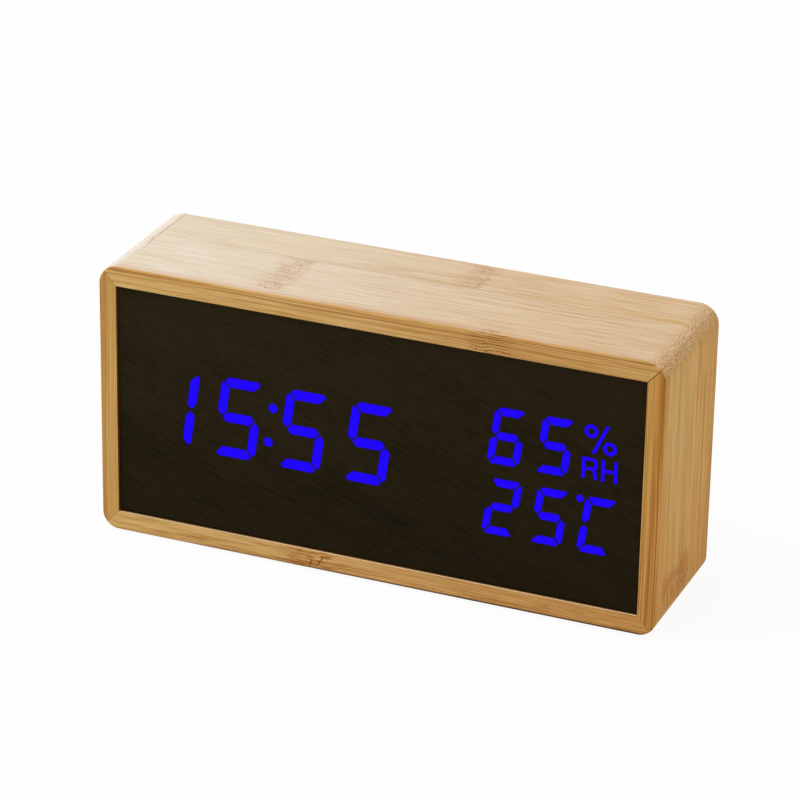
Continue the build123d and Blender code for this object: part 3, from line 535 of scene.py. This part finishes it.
class Bamboo(Finish):
    def __init__(self, name, board, look):
        super().__init__(name)
        self.board = board
        self.look = look
        level = board["grain"] == "x"
        self.along, self.through = (self.x, self.z) if level else (self.z, self.x)
        self.depth = self.times(self.minus(board["outer"], self.through), board["outward"])
        self.layFibres()
        cut = self.span(self.normalY, *board["edgeSpan"])
        colour = self.mix(cut, self.flatFaces(), self.cutFaces())
        marks = (self.addKnuckles, self.addSpecks, self.addEndGrain)
        # cracks and the loose end are marks in the wood; the last step paints highlight and shade round the
        # panel and along the bottom edge
        wearAndPaintedLight = (self.addCracks, self.addLooseEnd, self.addPaintedLipAndShade)
        for step in marks + wearAndPaintedLight:
            colour = step(colour)
        relief = self.nudge(self.streaks, self.fibres, look["fibreRelief"])
        self.coat(
            Base_Color=colour,
            Roughness=self.worn(self.fibres, look["roughness"]),
            Specular_IOR_Level=look["gloss"],
            Normal=self.relief(relief, look["reliefDepth"]),
        )

    # the grain sways a little; bands, streaks and fibres make up its tone
    def layFibres(self):
        board, look = self.board, self.look
        moved = self.calc("ADD", self.along, board["grainShift"])
        self.grain = self.join(moved, self.y, self.through)
        self.blotch = self.noise(self.grain, look["blotchSize"])
        self.sway = self.drift(self.grain, look["swaySize"])
        self.across = self.nudge(self.y, self.sway, look["swayReach"])
        layer = self.nudge(self.through, self.sway, look["swayReach"])
        self.swaying = self.join(moved, self.across, layer)
        self.bands = self.noise(self.swaying, board["bandSize"])
        self.streaks = self.noise(self.swaying, board["streakSize"], 3.0, 0.65)
        self.fibres = self.noise(self.swaying, board["fibreSize"], 2.0, 0.6)
        bandShare, streakShare, fibreShare = board["grainShares"]
        tone = self.nudge(self.times(self.bands, bandShare), self.streaks, streakShare)
        self.tone = self.nudge(tone, self.fibres, fibreShare)

    # pale, middle and deep colour, by how dense the fibres are
    def shades(self, colours):
        painted = (paint(*colour) for colour in colours)
        return self.ramp(self.tone, tuple(zip(self.look["toneStops"], painted)))

    # top, bottom and sides: two strips with a faint glue line between them
    def flatFaces(self):
        board, look = self.board, self.look
        colour = self.shades(board["face"])
        if "farFace" in board:
            far = self.span(self.along, *board["farSpan"])
            colour = self.mix(far, colour, self.shades(board["farFace"]))
        seam = self.minus(self.across, board["seam"])
        colour = self.tint(self.span(seam, 0.0, look["seamWidth"]), colour, board["backTint"])
        if "frontTint" in board:
            front = board["frontTint"]
            strip = self.span(self.across, front["y"] + look["seamWidth"], front["y"])
            colour = self.tint(strip, colour, front["shade"])
        if "footTint" in board:
            foot = board["footTint"]
            colour = self.tint(self.span(self.along, *foot["span"]), colour, foot["shade"])
        patchy = self.span(self.bands, 0.4, 0.6, 0.0, look["glueShare"])
        glue = self.times(self.stroke(seam, *look["glueWidth"]), patchy)
        colour = self.cover(glue, colour, look["glueLine"])
        if "amber" in board:
            colour = self.cover(self.amberStreaks(seam, board["amber"]), colour, board["edge"][1])
        if "rimTint" in board:
            rim = board["rimTint"]
            near = self.times(self.span(self.y, *rim["y"]), self.span(self.along, *rim["along"]))
            colour = self.tint(near, colour, rim["shade"])
        return colour

    # a few streaks just behind the glue line
    def amberStreaks(self, seam, amber):
        behind = self.span(seam, 0.0, 0.5)
        behind = self.times(behind, self.span(seam, amber["width"], 0.3 * amber["width"]))
        streaks = self.span(self.streaks, 0.4, 0.6, 0.0, amber["share"])
        return self.times(behind, self.span(self.along, *amber["along"]), streaks)

    # front and back cut through the board: pale inside, dark fibres towards the skin
    def cutFaces(self):
        board, look = self.board, self.look
        colour = self.shades(board["edge"])
        # painted shade: the front and back grow darker towards the right end, as less light falls there
        if "fadeTint" in board:
            colour = self.tint(self.span(self.along, *look["fadeSpan"]), colour, board["fadeTint"])
        start, full, endFull, end = board["skinSpan"]
        skinDepth = self.nudge(self.depth, self.sway, look["skinSway"])
        skin = self.span(skinDepth, start, full, 0.0, board["skinShare"])
        skin = self.times(skin, self.span(skinDepth, end, endFull))
        colour = self.cover(skin, colour, look["skin"])
        if "knot" in board:
            colour = self.addFlames(colour, board["knot"])
        lines = self.noise(self.swaying, board["lineSize"])
        lines = self.span(lines, board["lineLevel"], board["lineLevel"] + look["lineSoft"])
        lines = self.times(lines, self.span(self.depth, board["thick"] - 0.8, 0.5, *board["lineShares"]))
        lines = self.times(lines, self.span(self.depth, *look["lineStart"]))
        colour = self.cover(lines, colour, look["line"])
        rind = self.nudge(self.minus(self.depth, look["rindDepth"]), self.sway, look["rindSway"])
        rind = self.stroke(rind, *look["rindWidth"], board["rindShare"])
        rind = self.times(rind, self.span(self.bands, 0.4, 0.56, 0.15, 1.0))
        colour = self.cover(rind, colour, look["line"])
        if "ripples" in board:
            colour = self.addRipples(colour, board["ripples"])
        if "ticks" in board:
            colour = self.addTicks(colour, board["ticks"], board["flecks"])
        return colour

    # short dark streaks on both sides of a knot
    def addFlames(self, colour, knot):
        offKnot = self.calc("ABSOLUTE", self.minus(self.along, knot["spot"]))
        flames = self.span(self.noise(self.swaying, knot["size"]), *self.look["flameSpan"])
        near = self.span(offKnot, knot["reach"], 0.2 * knot["reach"], 0.0, knot["share"])
        return self.cover(self.times(flames, near), colour, self.look["flame"])

    # fine wavy lines close together
    def addRipples(self, colour, ripples):
        wave = self.noise(self.grain, ripples["size"], 1.0)
        level = self.nudge(self.through, wave, ripples["bow"])
        lines = self.calc("SINE", self.times(level, 2 * math.pi / ripples["pitch"]))
        lines = self.span(lines, *ripples["crest"])
        ends = self.between(self.along, ripples["from"], ripples["to"], ripples["soft"])
        patchy = self.span(self.blotch, 0.35, 0.6, *ripples["shares"])
        return self.cover(self.times(lines, ends, patchy), colour, self.look["ripple"])

    # dark cross marks and short marks along the grain
    def addTicks(self, colour, ticks, flecks):
        look = self.look
        zigzag = self.drift(self.grain, look["zigzagSize"])
        patchy = self.span(self.blotch, 0.3, 0.5, 0.5, 1.0)
        for spot, lean, low, high in ticks:
            gap = self.minus(self.along, self.calc("MULTIPLY_ADD", self.depth, lean, spot))
            gap = self.nudge(gap, zigzag, look["tickWave"])
            tick = self.between(self.depth, low, high, look["tickSoft"])
            tick = self.times(tick, self.stroke(gap, *look["tickWidth"], look["tickShare"]), patchy)
            colour = self.cover(tick, colour, look["tick"])
        for start, end, depth, halfWidth in flecks:
            gap = self.nudge(self.minus(self.depth, depth), zigzag, look["fleckWave"])
            fleck = self.stroke(gap, halfWidth, 0.2 * halfWidth, look["fleckShare"])
            fleck = self.times(fleck, self.between(self.along, start, end, look["fleckSoft"]))
            colour = self.cover(fleck, colour, look["line"])
        return colour

    # darker patches with one hard end, a faint ridge there and dark pores
    def addKnuckles(self, colour):
        board, look = self.board, self.look
        cells = self.cells(self.grain, board["poreSize"])
        luck = self.split(cells["Color"])[0]
        pores = self.span(luck, board["poreLevel"], board["poreLevel"] + look["poreSoft"])
        pores = self.times(pores, self.span(cells["Distance"], *look["poreRadii"], 0.0, look["poreShare"]))
        fringe = self.drift(self.grain, look["fringeSize"])
        mottle = self.span(self.blotch, 0.35, 0.6, 0.4, 1.0)
        for spot, front, back, length, strength, softness in board["knuckles"]:
            reach = self.minus(self.along, spot + look["knuckleReach"] / 2)
            reach = self.nudge(reach, self.blotch, look["knuckleReach"])
            reach = self.nudge(reach, fringe, look["fringeReach"] * (softness - 1.0))
            inset = look["knuckleInset"]
            strip = self.between(self.across, front + inset, back - inset, look["knuckleSoft"])
            inside = self.times(strip, self.span(reach, -length, -0.3 * length))
            patch = self.times(inside, self.span(reach, softness, -0.6 * softness), strength)
            colour = self.tint(self.times(patch, mottle), colour, board["knuckleTint"])
            ridge = self.stroke(reach, *look["ridgeWidth"], look["ridgeShare"] * strength / softness)
            colour = self.tint(self.times(ridge, strip), colour, board["knuckleTint"])
            colour = self.cover(self.times(pores, patch), colour, board["pore"])
        return colour

    # single dark specks
    def addSpecks(self, colour):
        look = self.look
        for spot in self.board.get("specks", ()):
            away = self.add("VectorMath", {0: self.place, 1: spot}, operation="DISTANCE").outputs["Value"]
            share = self.span(away, *look["speckRadii"], 0.0, look["speckShare"])
            colour = self.cover(share, colour, look["speck"])
        return colour

    # end grain shows as stipple on the round corners
    def addEndGrain(self, colour):
        look = self.look
        cells = self.cells(self.place, look["stippleSize"], look["stippleScatter"])
        luck = self.split(cells["Color"])[0]
        ends = self.nudge(self.times(self.normalX, self.normalZ), luck, look["stippleFray"])
        ends = self.span(ends, *look["stippleSpan"])
        rise = look["stippleRise"]
        ends = self.times(ends, self.span(self.z, *rise["z"], *rise["shares"]))
        ground = self.times(ends, look["stippleGroundShare"])
        colour = self.cover(ground, colour, look["stippleGround"])
        dots = self.times(ends, self.span(cells["Distance"], *look["stippleRadii"]))
        return self.cover(dots, colour, look["stippleDot"])

    # hairlines where the boards meet
    def addCracks(self, colour):
        look = self.look
        self.waver = self.drift(self.place, look["waverSize"], 2.0)
        broken = self.noise(self.place, look["breakSize"], 1.0)
        broken = self.span(broken, *look["breakSpan"], *look["breakShares"])
        for sideX, sideZ, onFront, onCorner in self.board["cracks"]:
            corner, normal = mitrePlane(sideX, sideZ)
            gap = self.times(self.minus(self.x, corner[0]), normal[0])
            gap = self.nudge(gap, self.minus(self.z, corner[1]), normal[1])
            gap = self.nudge(gap, self.waver, look["crackWaver"])
            strength = self.span(self.normalY, *look["crackTurn"], onCorner, onFront)
            crack = self.times(self.stroke(gap, *look["crackWidth"]), broken, strength)
            colour = self.cover(crack, colour, look["crack"])
        return colour

    # a loose hairline near the left end of the top, washed pale beyond it
    def addLooseEnd(self, colour):
        if "looseEnd" not in self.board:
            return colour
        loose = self.board["looseEnd"]
        gap = self.nudge(self.minus(self.x, loose["x"]), self.waver, loose["waver"])
        washed = self.span(self.normalY, *loose["washedTurnY"])
        washed = self.times(washed, self.span(gap, *loose["washedSpan"], 0.0, loose["washedShare"]))
        washed = self.times(washed, self.span(self.normalX, *loose["washedTurnX"]))
        colour = self.cover(washed, colour, loose["washed"])
        fade = loose["crackFade"]
        crack = self.stroke(gap, *loose["width"])
        crack = self.times(crack, self.span(self.y, *fade["y"], *fade["shares"]))
        return self.cover(crack, colour, loose["crack"])

    # painted highlight along the rim round the panel and painted shade on the step behind it; painted shadow
    # along the bottom edge where the case stands
    def addPaintedLipAndShade(self, colour):
        look, thick = self.look, self.board["thick"]
        start, full = look["lipDepth"]
        inside = self.span(self.depth, thick - start, thick - full)
        inside = self.times(inside, self.span(self.normalY, *look["lipTurn"]))
        rim = self.span(self.calc("ABSOLUTE", self.y), *look["lipReach"], 0.0, self.board["lipHighlightShare"])
        # painted shade over the inner step, then a painted highlight on its front part
        colour = self.tint(inside, colour, look["recess"])
        colour = self.cover(self.times(inside, rim), colour, look["lipHighlight"])
        # painted shadow along the bottom edge, stronger towards the right
        contactShade = self.span(self.x, *look["contactShadeReach"], *look["contactShadeShares"])
        contactShade = self.times(self.span(self.z, *look["contactShadeSpan"]), contactShade)
        return self.tint(contactShade, colour, look["contactShade"])


for boardName, boardLook in boardLooks.items():
    Bamboo(boardName.replace("case_", "bamboo_"), boardLook, bambooLook).dress(boardName)

blockLook = {
    "pale": (214, 178, 126),
    "deep": (186, 142, 88),
    "ringSize": (1.6, 40, 1.6),
    "poreSize": (0.3, 6, 0.3),
    "poreDepth": 0.05,
    "roughness": (0.6, 0.8),
}


def sandedWood(name, look):
    finish = Finish(name)
    rings = finish.noise(finish.place, look["ringSize"], 3.0, 0.6)
    pores = finish.noise(finish.place, look["poreSize"])
    finish.coat(
        Base_Color=finish.mix(finish.span(rings, 0.35, 0.7), paint(*look["pale"]), paint(*look["deep"])),
        Roughness=finish.worn(pores, look["roughness"]),
        Normal=finish.relief(pores, look["poreDepth"]),
    )
    return finish


sandedWood("blockWood", blockLook).dress("corner_blocks")
print("bamboo boards finished")


# dark film over the panel, the same over unlit lenses so that they don't show

panelLook = {
    "dark": (29, 23, 9),
    "light": (42, 34, 18),
    "dash": (22, 17, 8),
    "fadeTint": (244, 241, 230),
    "fadeSpan": (-50.0, 60.0),
    "lowTint": (234, 232, 228),
    "lowSpan": (46.0, 10.0),
    "slope": -21.0,
    "bandSize": (50, 30, 14),
    "bandShare": 0.4,
    "streakSize": (6, 6, 0.6),
    "streakShare": 0.6,
    "toneSpan": (0.3, 0.6),
    "poreSize": (3, 3, 0.3),
    "dashSpan": (0.4, 0.28),
    "dashShare": 0.5,
    "roughness": (0.5, 0.68),
    "gloss": 0.03,
    "poreRelief": 0.6,
    "reliefDepth": 0.012,
}


def filmFinish(name, look):
    finish = Finish(name)
    turn = {"Vector": finish.place, "Angle": math.radians(look["slope"])}
    turned = finish.add("VectorRotate", turn, rotation_type="Y_AXIS").outputs[0]
    bands = finish.noise(turned, look["bandSize"])
    streaks = finish.noise(turned, look["streakSize"], 2.0, 0.6, 0.3)
    pores = finish.noise(turned, look["poreSize"])
    tone = finish.nudge(finish.times(streaks, look["streakShare"]), bands, look["bandShare"])
    colour = finish.mix(finish.span(tone, *look["toneSpan"]), paint(*look["dark"]), paint(*look["light"]))
    colour = finish.tint(finish.span(finish.x, *look["fadeSpan"]), colour, look["fadeTint"])
    colour = finish.tint(finish.span(finish.z, *look["lowSpan"]), colour, look["lowTint"])
    dashes = finish.span(pores, *look["dashSpan"], 0.0, look["dashShare"])
    finish.coat(
        Base_Color=finish.cover(dashes, colour, look["dash"]),
        Roughness=finish.worn(pores, look["roughness"]),
        Specular_IOR_Level=look["gloss"],
        Normal=finish.relief(finish.nudge(streaks, pores, look["poreRelief"]), look["reliefDepth"]),
    )
    return finish


filmFinish("darkFilm", panelLook).dress("front_panel", "time_segments_dark", "climate_segments_dark")

# lit lenses, a little dimmer along their edges

lensLook = {
    "lit": (30, 0, 255),
    "rim": (8, 0, 70),
    "rimWidth": 0.4,
    "rimShare": 0.75,
    "body": (3, 0, 16),
    "bodyPale": (6, 0, 40),
    "cloudSize": (1.5, 1.5, 1.5),
    "strength": (0.9, 1.0),
    "roughness": (0.4, 0.5),
    "gloss": 0.03,
}


def lensFinish(name, look):
    finish = Finish(name)
    rim = finish.times(finish.easedEdges(look["rimWidth"])[1], look["rimShare"])
    cloud = finish.noise(finish.place, look["cloudSize"])
    finish.coat(
        Base_Color=finish.mix(cloud, paint(*look["body"]), paint(*look["bodyPale"])),
        Emission_Color=finish.mix(rim, paint(*look["lit"]), paint(*look["rim"])),
        Emission_Strength=finish.span(cloud, 0.2, 0.8, *look["strength"]),
        Roughness=finish.worn(cloud, look["roughness"]),
        Specular_IOR_Level=look["gloss"],
    )
    return finish


lensFinish("litLens", lensLook).dress("time_segments_lit", "colon_dots", "climate_segments_lit", "unit_signs")
print("display finished")


# moulded plastics and rubber: fine speckled texture, rubbed edges

mouldLook = {"cloudSize": (14, 14, 14), "edgeWidth": 0.18, "cloudShare": 0.22, "rubbedShares": (0.25, 0.85)}
plasticLooks = {
    "coverBlack": {
        "nodes": ("rear_cover", "battery_door"), "colour": (34, 34, 35), "rubbed": (62, 62, 63),
        "grain": 0.35, "depth": 0.03, "roughness": (0.5, 0.66),
    },
    "keyBlack": {
        "nodes": ("set_key", "up_key", "down_key"), "colour": (30, 30, 31), "rubbed": (58, 58, 60),
        "grain": 0.7, "depth": 0.008, "roughness": (0.34, 0.46),
    },
    "footRubber": {
        "nodes": ("foot_pads",), "colour": (38, 37, 36), "rubbed": (60, 59, 57),
        "grain": 0.5, "depth": 0.04, "roughness": (0.78, 0.92),
    },
    "bootRubber": {
        "nodes": ("microphone_boot",), "colour": (34, 34, 34), "rubbed": (52, 52, 52),
        "grain": 0.6, "depth": 0.03, "roughness": (0.75, 0.9),
    },
    "lightBoxWhite": {
        "nodes": ("time_light_box", "climate_light_box"),
        "colour": (228, 227, 222), "rubbed": (240, 240, 238),
        "grain": 0.6, "depth": 0.02, "roughness": (0.5, 0.62),
    },
    "chipBlack": {
        "nodes": ("display_driver_chip", "controller_chip"), "colour": (36, 36, 37), "rubbed": (56, 56, 57),
        "grain": 0.2, "depth": 0.015, "roughness": (0.5, 0.65),
    },
    "holderBlack": {
        "nodes": ("backup_cell_holder",), "colour": (38, 38, 39), "rubbed": (60, 60, 60),
        "grain": 0.4, "depth": 0.02, "roughness": (0.45, 0.6),
    },
    "switchBlack": {
        "nodes": ("key_switches",), "colour": (42, 42, 42), "rubbed": (66, 66, 66),
        "grain": 0.4, "depth": 0.02, "roughness": (0.42, 0.56),
    },
    "plungerBrown": {
        "nodes": ("set_switch_plunger", "up_switch_plunger", "down_switch_plunger"),
        "colour": (112, 78, 56), "rubbed": (136, 100, 76),
        "grain": 0.5, "depth": 0.01, "roughness": (0.4, 0.52),
    },
    "buzzerBlack": {
        "nodes": ("buzzer",), "colour": (40, 40, 42), "rubbed": (62, 62, 64),
        "grain": 0.5, "depth": 0.02, "roughness": (0.4, 0.55),
    },
    "sensorWhite": {
        "nodes": ("climate_sensor",), "colour": (226, 228, 230), "rubbed": (240, 241, 242),
        "grain": 0.4, "depth": 0.02, "roughness": (0.46, 0.58),
    },
    "connectorIvory": {
        "nodes": ("display_connector", "main_connector"),
        "colour": (230, 226, 212), "rubbed": (240, 238, 228),
        "grain": 0.5, "depth": 0.015, "roughness": (0.42, 0.55),
    },
    "ledPale": {
        "nodes": ("display_leds",), "colour": (238, 230, 190), "rubbed": (248, 244, 224),
        "grain": 0.3, "depth": 0.005, "roughness": (0.24, 0.36),
    },
    "leadRed": {
        "nodes": ("battery_lead_positive",), "colour": (190, 40, 36), "rubbed": (206, 66, 60),
        "grain": 0.8, "depth": 0.01, "roughness": (0.36, 0.48),
    },
    "leadBlack": {
        "nodes": ("battery_lead_negative",), "colour": (36, 36, 37), "rubbed": (52, 52, 53),
        "grain": 0.8, "depth": 0.01, "roughness": (0.36, 0.48),
    },
    "sleeveBlue": {
        "nodes": ("supply_capacitors",), "colour": (66, 72, 98), "rubbed": (92, 98, 124),
        "grain": 1.2, "depth": 0.01, "roughness": (0.3, 0.42),
    },
}


def mouldedPlastic(name, look, mould):
    finish = Finish(name)
    speckle = finish.noise(finish.place, (look["grain"],) * 3, 2.0, 0.6)
    cloud = finish.noise(finish.place, mould["cloudSize"], 3.0)
    eased, rim = finish.easedEdges(mould["edgeWidth"])
    rubbed = finish.times(rim, finish.span(cloud, 0.35, 0.65, *mould["rubbedShares"]))
    body = finish.span(cloud, 0.3, 0.7, 0.0, mould["cloudShare"])
    body = finish.cover(body, paint(*look["colour"]), look["rubbed"])
    finish.coat(
        Base_Color=finish.cover(rubbed, body, look["rubbed"]),
        Roughness=finish.worn(speckle, look["roughness"]),
        Normal=finish.relief(speckle, look["depth"], eased),
    )
    return finish


for plasticName, plasticLook in plasticLooks.items():
    mouldedPlastic(plasticName, plasticLook, mouldLook).dress(*plasticLook["nodes"])
print("plastics finished:", len(plasticLooks))


# metals: fine brush marks along one axis, a few dull patches and bright edges

polishLook = {
    "edge": (236, 236, 236),
    "edgeWidth": 0.1,
    "edgeShare": 0.4,
    "patchSize": (2.5, 2.5, 2.5),
    "depth": 0.006,
}
metalLooks = {
    "screwZinc": {
        "nodes": ("rear_cover_screws", "display_board_screws", "main_board_screws"),
        "colour": (188, 189, 192), "dull": (150, 150, 152),
        "brush": (0.25, 3.0, 0.25), "roughness": (0.26, 0.46),
    },
    "leadTin": {
        "nodes": ("display_driver_leads", "controller_leads"),
        "colour": (214, 214, 212), "dull": (178, 178, 174),
        "brush": (0.3, 0.3, 1.2), "roughness": (0.28, 0.44),
    },
    "crystalCan": {
        "nodes": ("clock_crystal",),
        "colour": (220, 220, 222), "dull": (188, 188, 190),
        "brush": (5.0, 0.2, 0.2), "roughness": (0.2, 0.34),
    },
    "backupSteel": {
        "nodes": ("backup_cell",),
        "colour": (216, 216, 214), "dull": (184, 184, 182),
        "brush": (0.2, 0.6, 6.0), "roughness": (0.22, 0.4),
    },
    "socketSteel": {
        "nodes": ("usb_socket_shell",),
        "colour": (206, 206, 208), "dull": (170, 170, 172),
        "brush": (0.3, 3.0, 0.3), "roughness": (0.24, 0.4),
    },
    "microphoneCan": {
        "nodes": ("microphone",),
        "colour": (212, 211, 208), "dull": (176, 175, 172),
        "brush": (0.3, 2.0, 0.3), "roughness": (0.24, 0.4),
    },
    "contactNickel": {
        "nodes": ("battery_contacts", "battery_springs", "battery_cell_caps"),
        "colour": (218, 214, 204), "dull": (180, 174, 162),
        "brush": (0.3, 0.3, 3.0), "roughness": (0.24, 0.42),
    },
}


def brushedMetal(name, look, polish):
    finish = Finish(name)
    brush = finish.noise(finish.place, look["brush"], 3.0, 0.65)
    patch = finish.noise(finish.place, polish["patchSize"], 3.0)
    colour = finish.mix(finish.span(patch, 0.4, 0.7), paint(*look["colour"]), paint(*look["dull"]))
    eased, rim = finish.easedEdges(polish["edgeWidth"])
    finish.coat(
        Base_Color=finish.cover(finish.times(rim, polish["edgeShare"]), colour, polish["edge"]),
        Metallic=1.0,
        Roughness=finish.worn(brush, look["roughness"]),
        Normal=finish.relief(brush, polish["depth"], eased),
    )
    return finish


for metalName, metalLook in metalLooks.items():
    brushedMetal(metalName, metalLook, polishLook).dress(*metalLook["nodes"])
print("metals finished:", len(metalLooks))


# socket tongue: black with a row of gold contacts on both flat faces

tongueLook = {
    "body": (34, 34, 35),
    "gold": (226, 182, 92),
    "wornGold": (196, 158, 88),
    "middleX": 30.05,
    "pitch": 0.5,
    "width": 0.28,
    "reach": 2.75,
    "soft": 0.03,
    "wearSize": (0.4, 1.2, 0.4),
    "roughness": (0.3, 0.45),
    "reliefDepth": 0.02,
}


def tongueFinish(name, look):
    finish = Finish(name)
    soft, half = look["soft"], look["width"] / 2
    side = finish.minus(finish.x, look["middleX"])
    strip = finish.calc("PINGPONG", side, look["pitch"] / 2)
    gold = finish.span(strip, half + soft, half - soft)
    gold = finish.times(gold, finish.stroke(side, look["reach"] + soft, look["reach"]))
    gold = finish.times(gold, finish.span(finish.normalZ, 0.9, 0.99))
    cloud = finish.noise(finish.place, look["wearSize"])
    plated = finish.mix(cloud, paint(*look["gold"]), paint(*look["wornGold"]))
    finish.coat(
        Base_Color=finish.mix(gold, paint(*look["body"]), plated),
        Metallic=gold,
        Roughness=finish.worn(cloud, look["roughness"]),
        Normal=finish.relief(gold, look["reliefDepth"]),
    )
    return finish


tongueFinish("tongueContacts", tongueLook).dress("usb_socket_tongue")


# circuit boards: green mask, raised tracks and tinned holes

boardMaskLook = {
    "mask": (26, 92, 54),
    "track": (44, 124, 74),
    "hole": (198, 196, 184),
    "trackPitch": 2.4,
    "trackSpan": (0.36, 0.4),
    "holePitch": 3.8,
    "holeSpread": 0.55,
    "holeRadii": (0.17, 0.13),
    "holeRise": 1.5,
    "cloudSize": (8, 8, 8),
    "roughness": (0.32, 0.46),
    "reliefDepth": 0.03,
}


def circuitFinish(name, look):
    finish = Finish(name)
    flat = finish.join(finish.x, 0.0, finish.z)
    blocks = finish.cells(flat, (look["trackPitch"],) * 3, distance="CHEBYCHEV")
    track = finish.span(blocks["Distance"], *look["trackSpan"])
    dots = finish.cells(flat, (look["holePitch"],) * 3, look["holeSpread"])
    hole = finish.span(dots["Distance"], *look["holeRadii"])
    cloud = finish.noise(finish.place, look["cloudSize"])
    colour = finish.mix(track, paint(*look["mask"]), paint(*look["track"]))
    finish.coat(
        Base_Color=finish.cover(hole, colour, look["hole"]),
        Roughness=finish.worn(cloud, look["roughness"]),
        Normal=finish.relief(finish.nudge(track, hole, look["holeRise"]), look["reliefDepth"]),
    )
    return finish


circuitFinish("circuitGreen", boardMaskLook).dress("display_board", "main_board")

# ribbon of round strands, one edge strand in red

ribbonLook = {
    "strand": (164, 166, 170),
    "groove": (112, 114, 118),
    "mark": (176, 62, 54),
    "pitch": 0.9,
    "markSpan": (27.5, 27.65),
    "cloudSize": (6, 6, 6),
    "roughness": (0.44, 0.56),
    "reliefDepth": 0.15,
}


def ribbonFinish(name, look):
    finish = Finish(name)
    half = look["pitch"] / 2
    crown = finish.span(finish.calc("PINGPONG", finish.z, half), 0.0, half)
    cloud = finish.noise(finish.place, look["cloudSize"])
    colour = finish.mix(crown, paint(*look["groove"]), paint(*look["strand"]))
    marked = finish.span(finish.z, *look["markSpan"])
    finish.coat(
        Base_Color=finish.cover(marked, colour, look["mark"]),
        Roughness=finish.worn(cloud, look["roughness"]),
        Normal=finish.relief(crown, look["reliefDepth"]),
    )
    return finish


ribbonFinish("ribbonGrey", ribbonLook).dress("ribbon_cable")

# cells: slate jacket with a pale band at the button end, turned about from row to row

jacketLook = {
    "jacket": (92, 102, 110),
    "band": (194, 198, 200),
    "rule": (168, 174, 178),
    "scuff": (150, 152, 154),
    "scuffSize": (7, 0.8, 0.8),
    "scuffSpan": (0.62, 0.78),
    "scuffShare": 0.16,
    "rowPitch": 10.9,
    "rowStart": 15.3,
    "middleX": -37.15,
    "bandSpan": (9.0, 9.15),
    "rulePlace": 7.6,
    "ruleWidth": (0.3, 0.21),
    "metal": 0.35,
    "roughness": (0.26, 0.42),
    "reliefDepth": 0.008,
}


def jacketFinish(name, look):
    finish = Finish(name)
    row = finish.calc("DIVIDE", finish.minus(finish.z, look["rowStart"]), look["rowPitch"])
    turn = finish.calc("FLOORED_MODULO", finish.calc("FLOOR", row), 2.0)
    turn = finish.calc("MULTIPLY_ADD", turn, -2.0, 1.0)  # 1 or -1
    reach = finish.times(finish.minus(finish.x, look["middleX"]), turn)
    band = finish.span(reach, *look["bandSpan"])
    rule = finish.stroke(finish.minus(reach, look["rulePlace"]), *look["ruleWidth"])
    scuffs = finish.noise(finish.place, look["scuffSize"], 3.0)
    scuffed = finish.span(scuffs, *look["scuffSpan"], 0.0, look["scuffShare"])
    colour = finish.mix(band, paint(*look["jacket"]), paint(*look["band"]))
    colour = finish.cover(rule, colour, look["rule"])
    finish.coat(
        Base_Color=finish.cover(scuffed, colour, look["scuff"]),
        Metallic=look["metal"],
        Roughness=finish.worn(scuffs, look["roughness"]),
        Normal=finish.relief(scuffs, look["reliefDepth"]),
    )
    return finish


jacketFinish("cellJacket", jacketLook).dress("battery_cells")
print("circuit boards, ribbon and cells finished")
print("nodes without a finish of their own:", sorted(set(nodes) - dressed))
